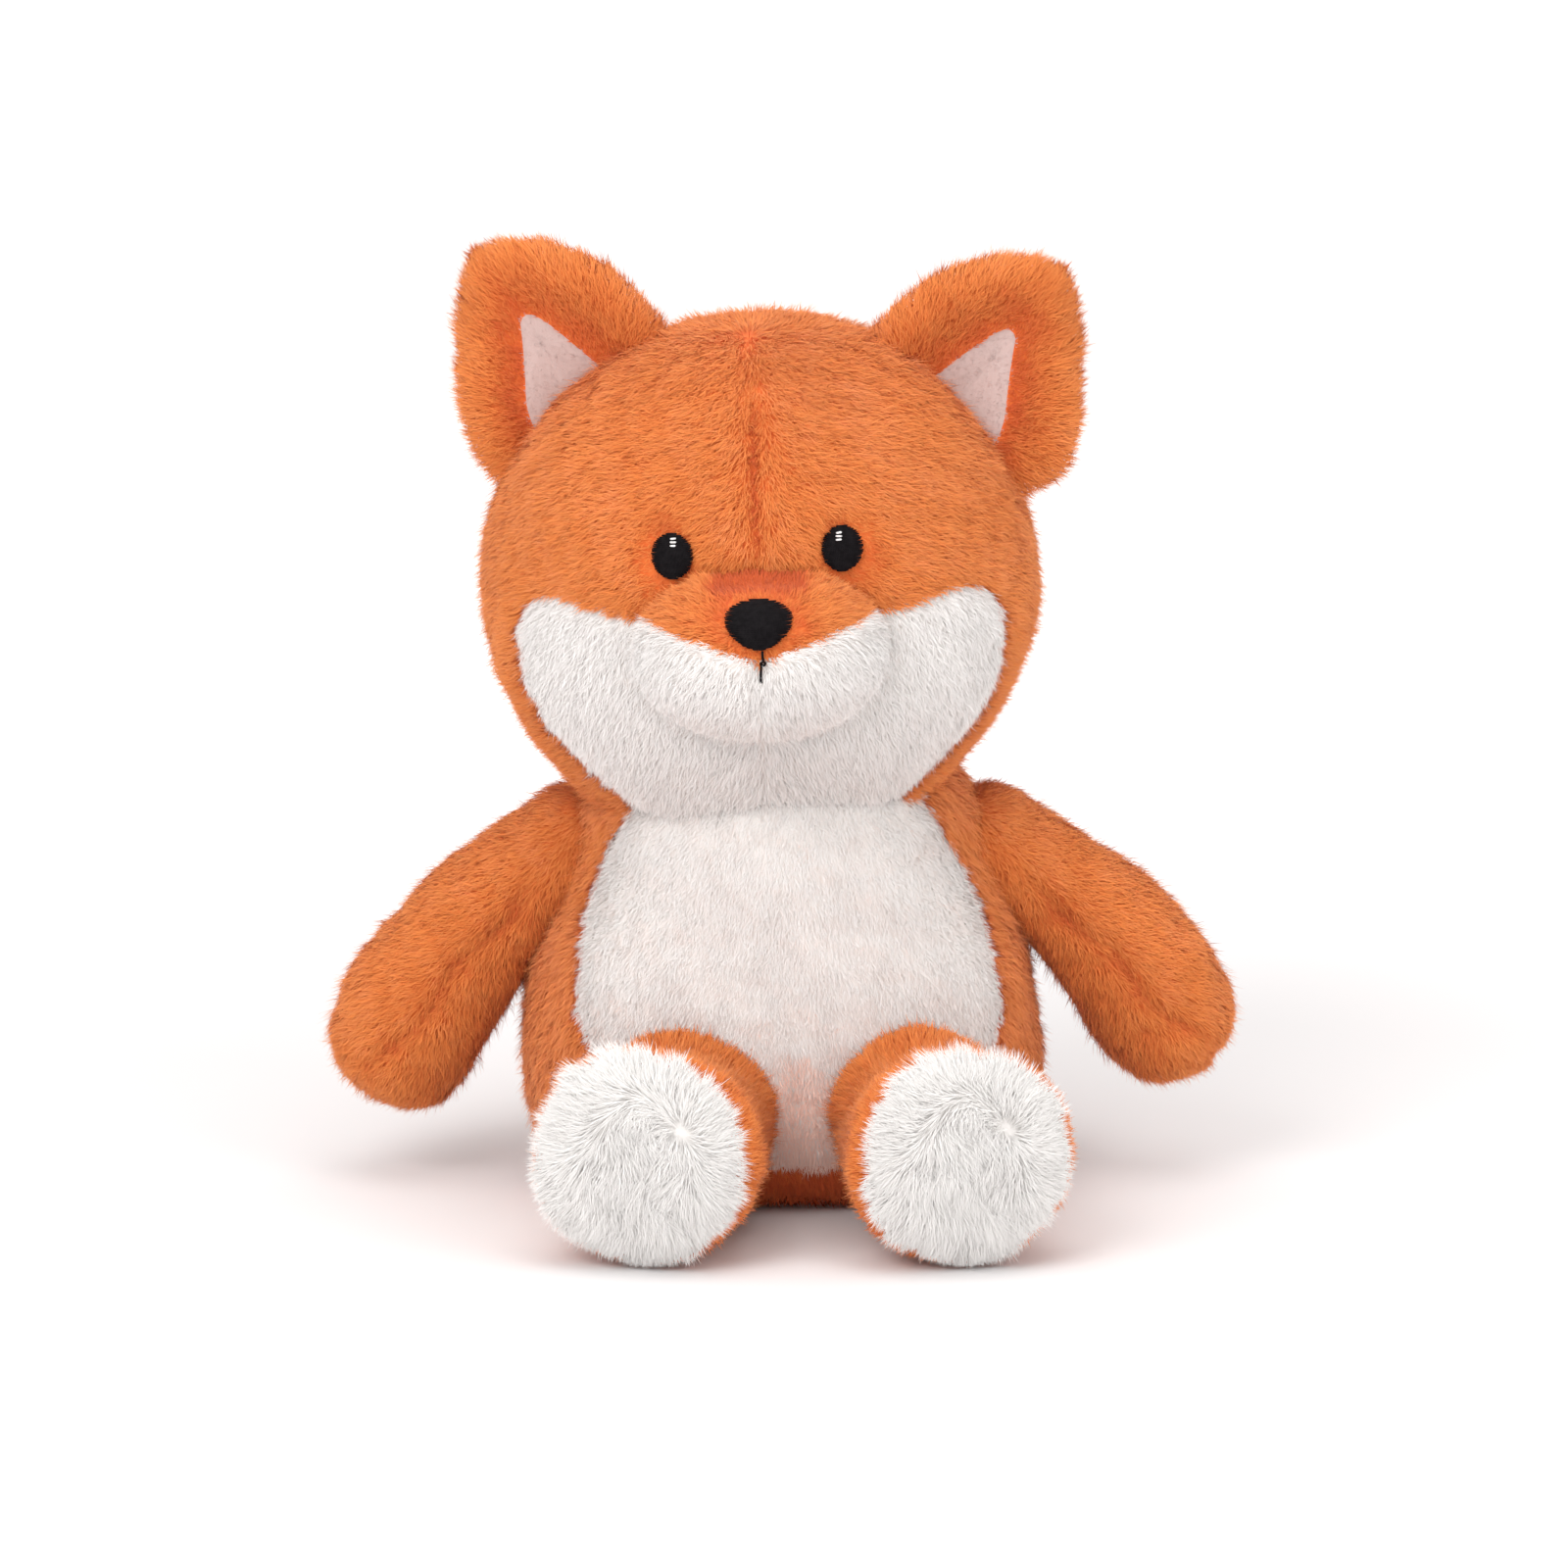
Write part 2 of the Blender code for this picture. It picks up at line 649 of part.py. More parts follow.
def ear_mesh(name, side):
    """A flat pillow: rings shrink from the outline towards the ear's middle."""
    rim = ear_outline()
    root_shares = (0.8, 0.0, -0.8)
    rim += [(share * EAR_HALF_W, EAR_CHORD_Z - EAR_ROOT) for share in root_shares]
    middle_x_share, middle_z_share = -0.12, 0.36
    mid_x = middle_x_share * EAR_HALF_W
    mid_z = EAR_CHORD_Z + middle_z_share * EAR_H
    ring_shares = ((0.0, 1.0), (0.62, 0.92), (1.0, 0.0), (0.62, -0.92), (0.0, -1.0))
    last = len(ring_shares) - 1
    bm = bmesh.new()
    bmesh.ops.create_uvsphere(bm, u_segments=len(rim), v_segments=last, radius=1.0)
    for vert in bm.verts:
        row = round(math.acos(max(-1.0, min(1.0, vert.co.z))) / math.pi * last)
        turn = math.atan2(vert.co.y, vert.co.x) % math.tau
        x, z = rim[round(turn / math.tau * len(rim)) % len(rim)]
        out, thick = ring_shares[row]
        px = mid_x + (x - mid_x) * out
        pz = mid_z + (z - mid_z) * out
        forward = EAR_CUP * (px / EAR_HALF_W) ** 2
        vert.co = (side * px, -thick * EAR_T / 2 - forward, pz)
    return mesh_of(name, bm)


def inner_ear_outline(side):
    shares = ((-0.40, -0.20), (-0.38, 0.12), (-0.26, 0.60), (0.12, 0.34), (0.50, 0.12),
              (0.52, -0.20))
    return [(side * x * EAR_HALF_W, EAR_CHORD_Z + z * EAR_H) for x, z in shares]


def make_ears():
    guard = grown("ear_guard", FORMS["head"], GAP)
    for side_name, side in (("left", -1.0), ("right", 1.0)):
        lean = side * math.radians(EAR_ANGLE_DEG)
        roll = math.radians(EARS_ROLL_DEG)
        turn = Matrix.Rotation(lean + roll, 3, "Y")
        hinge = turn @ Vector((0.0, 0.0, EAR_HINGE_R))
        pivot = Vector((HEAD_X, HEAD_Y + EAR_Y, HEAD_Z)) + hinge
        frame = empty(f"ear_{side_name}_joint", pivot, turn)
        name = f"ear_{side_name}"
        mesh = ear_mesh(name, side)
        chord = turn @ Vector((1.0, 0.0, 0.0))
        fold = math.radians(EAR_FOLD_DEG)
        guards = [
            turned_copy(f"{name}_guard_{i}", guard, pivot, chord, angle)
            for i, angle in enumerate((fold, -fold))
        ]
        front = -EAR_T - EAR_CUP - OVERRUN
        back = -EAR_T / 2 + EAR_INNER_T
        recess = outline_block(f"{name}_recess", inner_ear_outline(side), front, back, frame)
        wide = grown(f"{name}_recess_wide", recess, SEAM_GAP)
        whole = smoothed(add_object(f"{name}_whole", mesh, CUTTERS, frame))
        trimmed = evaluated_mesh(cut(whole, "DIFFERENCE", *guards))
        cut(piece(name, trimmed, ORANGE_KIND, frame), "DIFFERENCE", wide)
        cut(piece(f"ear_inner_{side_name}", trimmed, WHITE_KIND, frame), "INTERSECT", recess)


# Limbs

def limb_rows(length, root_r, run, end_share, bow=0.0):
    """Rows of a limb along X: a round root at the joint, then the run, then its end point.

    Each row of the run is (share of the length, radius, share of the bow).
    """
    rows = []
    root_turns_deg = (0.0, 45.0, 90.0)
    grown_r = root_r / smoothing_loss(math.radians(root_turns_deg[1]))
    for turn_deg in root_turns_deg:
        turn = math.radians(turn_deg)
        ring = grown_r * math.sin(turn)
        rows.append((-grown_r * math.cos(turn), ring, ring, 0.0))
    rows += [(along * length, radius, radius, bent * bow) for along, radius, bent in run]
    rows.append((end_share * length, 0.0, 0.0, 0.0))
    return rows


def body_guard(name, root_r, pivot, turns):
    """What a limb is cut by: the body as the limb meets it at rest and at each turn.

    It is hollow where the limb's round root turns. Each turn is (axis, degrees).
    """
    guard = grown(f"{name}_body_guard", FORMS["body"], LIMB_CLEARANCE)
    turned = [
        turned_copy(f"{name}_body_guard_{i}", guard, pivot, axis, math.radians(degrees))
        for i, (axis, degrees) in enumerate(turns)
    ]
    cut(guard, "UNION", *turned)
    return cut(guard, "DIFFERENCE", ball(f"{name}_guard_hollow", root_r + LIMB_WAD_T, pivot))


def dimple_radius(root_r):
    """The hollow in the body that takes a limb's round root and its wad of filling."""
    return (root_r + GAP + LIMB_WAD_T) * (1.0 + FACET_SLACK_SHARE) + GAP


def make_arms():
    for side_name, side, down_deg in (
        ("left", -1.0, ARM_LEFT_DEG),
        ("right", 1.0, ARM_RIGHT_DEG),
    ):
        pivot = Vector((side * SHOULDER_X, SHOULDER_Y, SHOULDER_Z))
        frame = empty(f"arm_{side_name}_joint", pivot,
                      Matrix.Rotation(side * math.radians(down_deg), 3, "Y"))
        tip_r_share, tip_share = 0.78, 1.04
        run = ((0.34, ARM_UPPER_R, 1.0), (0.58, ARM_MIDDLE_R, 0.7), (0.80, ARM_HAND_R, 0.3),
               (0.95, tip_r_share * ARM_HAND_R, 0.0))
        rows = limb_rows(ARM_LENGTH, ARM_ROOT_R, run, tip_share, ARM_BOW)
        mesh = cage(f"arm_{side_name}_form", rows, LIMB_SEGMENTS, side)
        form = smoothed(add_object(f"arm_{side_name}_form", mesh, CUTTERS, frame))
        turns = [("Y", -side * ARM_LOWER_DEG)]
        holes = [body_guard(f"arm_{side_name}", ARM_ROOT_R, pivot, turns)]
        past = ARM_LENGTH + OVERRUN
        half = SEAM_GAP / 2
        upper = block(f"arm_{side_name}_upper_cut", (-past, -past, half), (past, past, past), frame)
        lower = block(f"arm_{side_name}_lower_cut", (-past, -past, -past), (past, past, -half),
                      frame)
        names = {f"arm_{side_name}_upper_panel": upper, f"arm_{side_name}_lower_panel": lower}
        kinds = {name: ORANGE_KIND for name in names}
        regions = {name: [("INTERSECT", region)] for name, region in names.items()}
        shell_pieces(form, kinds, regions, frame, holes)
        stuffing(f"arm_{side_name}_stuffing", form, holes, frame)
        wad(f"shoulder_{side_name}_stuffing", ARM_ROOT_R + GAP, LIMB_WAD_T, LIMB_WAD_DEG, pivot,
            (-side, 0.0, 0.0), BALL_SEGMENTS, FILLING_KIND)


def make_legs():
    floor = FORMS["floor"]
    for side_name, side in (("left", -1.0), ("right", 1.0)):
        pivot = Vector((HIP_MID_X + side * HIP_X, HIP_Y, HIP_Z))
        splay = math.radians(LEG_SPLAY_DEG)
        forward = Matrix.Rotation(-math.pi / 2 + side * splay, 3, "Z")
        frame = empty(f"leg_{side_name}_joint", pivot, forward)
        rim_r_share, tip_share = 0.80, 1.045
        run = ((0.42, (LEG_ROOT_R + LEG_MIDDLE_R) / 2, 0.0), (0.70, LEG_MIDDLE_R, 0.0),
               (0.92, LEG_FOOT_R, 0.0), (1.03, rim_r_share * LEG_FOOT_R, 0.0))
        rows = limb_rows(LEG_LENGTH, LEG_ROOT_R, run, tip_share)
        mesh = cage(f"leg_{side_name}_form", rows, LIMB_SEGMENTS)
        form = smoothed(add_object(f"leg_{side_name}_form", mesh, CUTTERS, frame))
        turns_deg = (LEG_RAISE_DEG, LEG_RAISE_DEG / 2, -LEG_LOWER_DEG, -LEG_LOWER_DEG / 2)
        turns = [("X", turn) for turn in turns_deg]
        holes = [floor, body_guard(f"leg_{side_name}", LEG_ROOT_R, pivot, turns)]
        past = LEG_LENGTH + OVERRUN
        sole_x = LEG_LENGTH - SOLE_T
        sole = block(f"sole_{side_name}_cut", (sole_x, -past, -past), (past, past, past), frame)
        leg = block(f"leg_{side_name}_cut", (-past, -past, -past),
                    (sole_x - SEAM_GAP, past, past), frame)
        names = {f"leg_{side_name}_panel": leg}
        kinds = {f"leg_{side_name}_panel": ORANGE_KIND}
        regions = {name: [("INTERSECT", region)] for name, region in names.items()}
        shell_pieces(form, kinds, regions, frame, holes)
        pad = smoothed(piece(f"sole_{side_name}_panel", form.data, WHITE_KIND, frame))
        cut(pad, "INTERSECT", sole)
        cut(pad, "DIFFERENCE", floor)
        stuffing(f"leg_{side_name}_stuffing", form, [*holes, sole], frame)
        wad(f"hip_{side_name}_stuffing", LEG_ROOT_R + GAP, LIMB_WAD_T, LIMB_WAD_DEG, pivot,
            (0.0, 1.0, 0.0), BALL_SEGMENTS, FILLING_KIND)


def make_tail():
    floor = FORMS["floor"]
    pivot = Vector((TAIL_X, TAIL_Y, TAIL_Z))
    frame = empty("tail_joint", pivot, Matrix.Rotation(math.pi / 2, 3, "Z"))
    tip_share = 1.03
    run_shares = ((0.30, 0.80), (0.55, 1.0), (0.78, 0.90), (0.95, 0.45))
    run = [(along, wide * TAIL_FAT_R, 0.0) for along, wide in run_shares]
    rows = limb_rows(TAIL_LENGTH, TAIL_ROOT_R, run, tip_share)
    form = smoothed(add_object("tail_form", cage("tail_form", rows, LIMB_SEGMENTS), CUTTERS,
                               frame))
    turns = [("Z", TAIL_BEND_DEG), ("Z", -TAIL_BEND_DEG), ("X", -TAIL_BEND_DEG)]
    holes = [floor, body_guard("tail", TAIL_ROOT_R, pivot, turns)]
    past = TAIL_LENGTH + OVERRUN
    split = TAIL_LENGTH - TAIL_TIP_LENGTH
    near = block("tail_near_cut", (-past, -past, -past), (split - SEAM_GAP, past, past), frame)
    far = block("tail_far_cut", (split, -past, -past), (past, past, past), frame)
    kinds = {"tail_panel": ORANGE_KIND, "tail_tip_panel": WHITE_KIND}
    regions = {"tail_panel": [("INTERSECT", near)], "tail_tip_panel": [("INTERSECT", far)]}
    shell_pieces(form, kinds, regions, frame, holes)
    stuffing("tail_stuffing", form, holes, frame)
    wad("tail_root_stuffing", TAIL_ROOT_R + GAP, LIMB_WAD_T, LIMB_WAD_DEG, pivot, (0.0, -1.0, 0.0),
        BALL_SEGMENTS, FILLING_KIND)


def limb_dimples():
    """The hollows in the body for the round roots of the arms, legs and tail."""
    places = {
        "shoulder_left": (ARM_ROOT_R, (-SHOULDER_X, SHOULDER_Y, SHOULDER_Z)),
        "shoulder_right": (ARM_ROOT_R, (SHOULDER_X, SHOULDER_Y, SHOULDER_Z)),
        "hip_left": (LEG_ROOT_R, (HIP_MID_X - HIP_X, HIP_Y, HIP_Z)),
        "hip_right": (LEG_ROOT_R, (HIP_MID_X + HIP_X, HIP_Y, HIP_Z)),
        "tail": (TAIL_ROOT_R, (TAIL_X, TAIL_Y, TAIL_Z)),
    }
    return [
        ball(f"{name}_dimple", dimple_radius(root_r), centre)
        for name, (root_r, centre) in places.items()
    ]


clear_scene()
PARTS = new_collection("plush_fox")
CUTTERS = new_collection("cutters", hidden=True)
FRAMES = {"head": head_frame()}
FORMS = {"floor": floor_block(), "body": body_form(), "head": head_form(FRAMES["head"])}
FORMS["muzzle"] = muzzle_form(FRAMES["head"])
make_body(limb_dimples())
make_head()
make_muzzle()
make_face()
make_ears()
make_arms()
make_legs()
make_tail()
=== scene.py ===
import json
import math

import bpy
import numpy as np
from bpy.props import FloatProperty, FloatVectorProperty, IntProperty, PointerProperty
from mathutils import Matrix, Vector


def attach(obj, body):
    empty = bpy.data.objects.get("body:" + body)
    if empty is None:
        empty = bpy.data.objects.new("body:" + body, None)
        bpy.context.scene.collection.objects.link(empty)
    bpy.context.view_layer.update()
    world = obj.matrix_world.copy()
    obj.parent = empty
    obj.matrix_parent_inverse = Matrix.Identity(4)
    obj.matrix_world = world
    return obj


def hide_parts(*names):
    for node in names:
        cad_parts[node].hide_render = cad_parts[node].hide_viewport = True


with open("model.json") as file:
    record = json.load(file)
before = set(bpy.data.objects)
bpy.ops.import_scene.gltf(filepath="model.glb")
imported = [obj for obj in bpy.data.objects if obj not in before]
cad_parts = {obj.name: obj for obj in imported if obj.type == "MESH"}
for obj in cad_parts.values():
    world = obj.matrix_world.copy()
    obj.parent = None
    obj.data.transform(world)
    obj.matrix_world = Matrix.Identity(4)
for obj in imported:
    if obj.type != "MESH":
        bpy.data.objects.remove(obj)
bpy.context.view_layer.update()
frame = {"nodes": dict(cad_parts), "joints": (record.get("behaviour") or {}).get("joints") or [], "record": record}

bl_info = {
    "name": "Seated plush fox",
    "version": (1, 0, 0),
    "blender": (4, 5, 0),
    "location": "View3D > Sidebar > Plush fox",
    "description": "Sews the panels, pile and stitched face of a seated plush fox on its packed frame",
    "category": "Object",
}

JOINTS = {joint["name"]: joint for joint in frame["joints"]}
SIDES = (("left", -1.0), ("right", 1.0))      # as the camera sees them, with the sign of x

# The pile's map: tone across, and from the cloth below up to the tips of the locks
PILE_MAP = "OFBake"
CLOTH_V, ROOT_V, PILE_TIP_V = 0.004, 0.01, 0.30
MAP_HALF_U = 0.002
# The cloth under the pile takes the root colour at a slightly dark tone, as painted shade between the locks.
CLOTH_TONE = 0.45
SNAP_REACH = 0.0030      # how far a point of the cloth moves to lie on its seam
FLOOR_GAP = 0.0002       # the cloth's lowest height over the floor
ROOT_DEPTH = 0.0004      # how far a lock's root lies under the cloth
LOOSE_SHARE = 0.09       # the share of locks that stand up out of the pile
FINE_WIDTH = 0.82        # the width of a white lock, as a share of an orange one


# Sizes and colours that a user would change

def length(name, description, default, low, high):
    return FloatProperty(name=name, description=description, default=default, min=low, max=high,
                         unit="LENGTH", precision=5)


def colour(name, description, default):
    return FloatVectorProperty(name=name, description=description, default=default, subtype="COLOR",
                               size=3, min=0.0, max=1.0)


class PileSettings(bpy.types.PropertyGroup):
    orange_length: length("Orange pile", "Length of the orange fibres", 0.0052, 0.001, 0.02)
    white_length: length("White pile", "Length of the fibres on the cheeks and muzzle", 0.0048, 0.001, 0.02)
    belly_length: length("Belly pile", "Length of the short fibres on the belly", 0.0028, 0.001, 0.02)
    sole_length: length("Sole pile", "Length of the shaggy fibres on the soles", 0.0088, 0.001, 0.03)
    lining_length: length("Ear lining pile", "Length of the fibres inside the ears", 0.0012, 0.0003, 0.01)
    fibre_width: length("Fibre width", "Width of one lock of fibres at its middle", 0.00024, 0.0001, 0.002)
    density: FloatProperty(name="Locks per square millimetre", description="How densely the pile grows",
                           default=5.8, min=0.2, max=9.0)
    clump: length("Clump size", "Distance between neighbouring clumps of pile", 0.0024, 0.0005, 0.02)
    seed: IntProperty(name="Seed", description="Changes how the fibres fall", default=7, min=0)


class ColourSettings(bpy.types.PropertyGroup):
    # Each root colour is darker than its tip: painted shade among the roots and painted light on the tips.
    orange_root: colour("Orange root", "Orange pile near the cloth", (0.74, 0.165, 0.037))
    orange_tip: colour("Orange tip", "Orange pile at its tips", (0.825, 0.272, 0.066))
    white_root: colour("White root", "White pile near the cloth", (0.90, 0.865, 0.835))
    white_tip: colour("White tip", "White pile at its tips", (0.935, 0.905, 0.885))
    sole_root: colour("Sole root", "Long white pile near the cloth", (0.84, 0.815, 0.79))
    sole_tip: colour("Sole tip", "Long white pile at its tips", (0.885, 0.865, 0.845))
    lining: colour("Ear lining", "Short pile inside the ears", (0.59, 0.455, 0.425))
    thread: colour("Dark thread", "Stitched eyes, nose and mouth", (0.0045, 0.0032, 0.0040))
    spark: colour("White thread", "Stitched highlights of the eyes", (0.86, 0.83, 0.82))
    filling: colour("Filling", "Wads of filling at the roots of the limbs", (0.78, 0.76, 0.73))


class ShapeSettings(bpy.types.PropertyGroup):
    cell: length("Cloth grid", "Distance between the points of the cloth", 0.0022, 0.0008, 0.01)
    seam_depth: length("Seam depth", "How far a seam pulls the cloth in", 0.0013, 0.0, 0.01)
    seam_width: length("Seam width", "Half the width of the groove along a seam", 0.0022, 0.0005, 0.01)
    stitch_pitch: length("Stitch pitch", "Distance between rows of the embroidery", 0.00044, 0.0002, 0.002)
    stitch_radius: length("Thread radius", "Radius of the embroidery thread", 0.00027, 0.0001, 0.001)


class StageSettings(bpy.types.PropertyGroup):
    distance: length("Camera distance", "From the camera to the middle of the fox", 1.5, 0.3, 10.0)
    elevation: FloatProperty(name="Camera elevation", description="Angle above the horizon",
                             default=math.radians(9.0), subtype="ANGLE")
    aim: FloatVectorProperty(name="Aim", description="Where the camera looks", default=(0.0008, 0.0, 0.1056),
                             subtype="XYZ", unit="LENGTH")
    lens: FloatProperty(name="Lens", description="Focal length on a 36 mm sensor", default=129.8, min=20.0)
    # The floor's faint pink is painted bounce light from the orange fur.
    floor_colour: colour("Floor", "Pale floor", (0.87, 0.845, 0.843))


# Small tools

def settings():
    scene = bpy.context.scene
    return scene.fox_pile, scene.fox_colours, scene.fox_shape, scene.fox_stage


def put_in_scene(name, data):
    made = bpy.data.objects.new(name, data)
    bpy.context.scene.collection.objects.link(made)
    return made


def select_only(made):
    bpy.ops.object.select_all(action="DESELECT")
    made.select_set(True)
    bpy.context.view_layer.objects.active = made


def joint_point(name):
    return Vector(JOINTS[name]["pos_m"])


def unit(v):
    size = np.linalg.norm(v, axis=-1, keepdims=True)
    return v / np.maximum(size, 1e-12)


def flat_on(v, normals):
    """The part of each v that lies along the cloth."""
    return v - (v * normals).sum(1, keepdims=True) * normals


def directions(x, y, z):
    """One direction for each point, from arrays or from numbers that are the same for all."""
    return np.stack(np.broadcast_arrays(x, y, z), 1)


def carried(points, place):
    """Points of a form's own frame in the world."""
    return points @ np.array(place.to_3x3()).T + np.array(place.translation)


def waves(points, size, seed):
    """Soft noise of about -1 to 1 whose lumps are about size metres across."""
    rng, count = np.random.default_rng(seed), 9
    k = unit(rng.normal(size=(count, 3))) * (math.tau / size) * rng.uniform(0.55, 1.5, (count, 1))
    phase = rng.uniform(0, math.tau, count)
    return np.clip(np.sin(points @ k.T + phase).sum(-1) / (1.5 * math.sqrt(count / 2)), -1, 1)


def smooth_step(low, high, x):
    t = np.clip((x - low) / (high - low), 0, 1)
    return t * t * (3 - 2 * t)


def bell(gap, width):
    """1 where the gap is 0, falling softly to almost nothing two widths away."""
    return np.exp(-(gap / width) ** 2)


def closed(line):
    return [*line, line[0]]


def line_distance(x, z, points):
    """Distance in the XZ plane from x, z to a line through points."""
    best = np.full(np.shape(x), 1e9)
    for (ax, az), (bx, bz) in zip(points[:-1], points[1:]):
        dx, dz = bx - ax, bz - az
        t = np.clip(((x - ax) * dx + (z - az) * dz) / (dx * dx + dz * dz), 0, 1)
        best = np.minimum(best, np.hypot(x - ax - t * dx, z - az - t * dz))
    return best


def inside_outline(x, z, points):
    """True where x, z lies in the closed outline through points."""
    inside = np.zeros(np.shape(x), bool)
    line = closed(points)
    for (ax, az), (bx, bz) in zip(line[:-1], line[1:]):
        crosses = (az > z) != (bz > z)
        with np.errstate(divide="ignore", invalid="ignore"):
            at = (bx - ax) * (z - az) / (bz - az if bz != az else 1e-12) + ax
        inside ^= crosses & (x < at)
    return inside


def rounded(points, rounds):
    """A closed outline with its corners rounded off."""
    line = np.array(points, float)
    for _ in range(rounds):
        after = np.roll(line, -1, 0)
        line = np.stack((0.75 * line + 0.25 * after, 0.25 * line + 0.75 * after), 1)
        line = line.reshape(-1, line.shape[-1])
    return line


def through(stations, count):
    """A smooth run of count rows through the stations, evenly spaced along it."""
    s = np.array(stations, float)
    t = np.concatenate(([0], np.cumsum(np.linalg.norm(np.diff(s, axis=0), axis=1))))
    slope = np.gradient(s, t, axis=0)
    at = np.linspace(0, t[-1], count)
    i = np.clip(np.searchsorted(t, at, side="right") - 1, 0, len(t) - 2)
    h = (t[i + 1] - t[i])[:, None]
    u = ((at - t[i])[:, None]) / h
    return ((2 * u**3 - 3 * u**2 + 1) * s[i] + (u**3 - 2 * u**2 + u) * h * slope[i]
            + (-2 * u**3 + 3 * u**2) * s[i + 1] + (u**3 - u**2) * h * slope[i + 1])


def fine_share(normals):
    """1 where the pile faces forwards, and its locks are finest and closest, down to 0 behind."""
    return smooth_step(0.45, -0.25, normals[..., 1])


# Cloth and pile

class Cloth:
    """A closed form of cloth: a grid of points, its rows closed round."""

    def __init__(self, grid, place=None):
        self.local = grid.copy()
        self.place = np.eye(4) if place is None else np.array(place)
        self.grid = grid @ self.place[:3, :3].T + self.place[:3, 3]
        along = np.gradient(self.grid, axis=0)
        around = np.roll(self.grid, -1, 1) - np.roll(self.grid, 1, 1)
        normal = np.cross(along, around)
        self.flip = (normal * (self.grid - self.grid.mean((0, 1)))).sum() < 0
        if self.flip:
            normal = -normal
        for row, near in ((0, 1), (-1, -2)):
            if np.ptp(self.grid[row], axis=0).max() < 1e-7:
                normal[row] = unit(normal[near]).mean(0)
        self.normal = unit(normal)

    def snap(self, labels, a, b, line, mirrored=False):
        """Draws the points between the cells labelled a and b onto a seam line seen from the front."""
        i, j, k = self.cells()
        touched = []
        for label in (a, b):
            mark = np.zeros(self.grid.shape[:2], bool)
            chosen = np.isin(labels, label)
            for r, c in ((i, j), (i + 1, j), (i + 1, k), (i, k)):
                mark[r[chosen], c[chosen]] = True
            touched.append(mark)
        r, c = np.nonzero(touched[0] & touched[1])
        x, _, z = self.local[r, c].T
        side = np.where(x < 0, -1.0, 1.0) if mirrored else np.ones(len(x))
        at = np.stack((x * side, z), 1)
        best, near = np.full(len(x), 1e9), at.copy()
        for p, q in zip(np.array(line[:-1], float), np.array(line[1:], float)):
            t = np.clip(((at - p) @ (q - p)) / ((q - p) @ (q - p)), 0, 1)[:, None]
            on = p + t * (q - p)
            gap = np.linalg.norm(at - on, axis=1)
            near = np.where((gap < best)[:, None], on, near)
            best = np.minimum(best, gap)
        n = self.normal[r, c] @ self.place[:3, :3]
        facing = np.abs(n[:, 1]) > 0.25
        take = (best < SNAP_REACH) & facing
        dx, dz = near[:, 0] * side - x, near[:, 1] - z
        dy = -(n[:, 0] * dx + n[:, 2] * dz) / np.where(facing, n[:, 1], 1)
        step = np.stack((dx, dy, dz), 1)[take]
        self.local[r[take], c[take]] += step
        self.grid[r[take], c[take]] += self.to_world(step)

    def to_local(self, points):
        return (points - self.place[:3, 3]) @ self.place[:3, :3]

    def to_world(self, ways):
        return ways @ self.place[:3, :3].T

    def cells(self):
        """Each cell's row, its column and the next column round."""
        rows, cols = self.grid.shape[:2]
        i, j = np.meshgrid(np.arange(rows - 1), np.arange(cols), indexing="ij")
        return i.ravel(), j.ravel(), ((j + 1) % cols).ravel()

    def cell_middles(self):
        i, j, k = self.cells()
        g = self.local
        return (g[i, j] + g[i + 1, j] + g[i, k] + g[i + 1, k]) / 4

    def roots(self, rng, per_mm2, wanted):
        """Random places on the cloth, about per_mm2 to a square millimetre where wanted is 1."""
        i, j, k = self.cells()
        g, n = self.grid, self.normal
        area = np.linalg.norm(np.cross(g[i + 1, k] - g[i, j], g[i, k] - g[i + 1, j]), axis=1) / 2
        area = area * (0.62 + 0.50 * fine_share(n[i, j])) * wanted
        count = int(area.sum() * 1e6 * per_mm2)
        pick = rng.choice(len(area), count, p=area / area.sum())
        a, b = rng.random((2, count, 1))
        i, j, k = i[pick], j[pick], k[pick]

        def mixed(q):
            return ((1 - a) * (1 - b) * q[i, j] + a * (1 - b) * q[i + 1, j]
                    + (1 - a) * b * q[i, k] + a * b * q[i + 1, k])

        return mixed(g), unit(mixed(n))


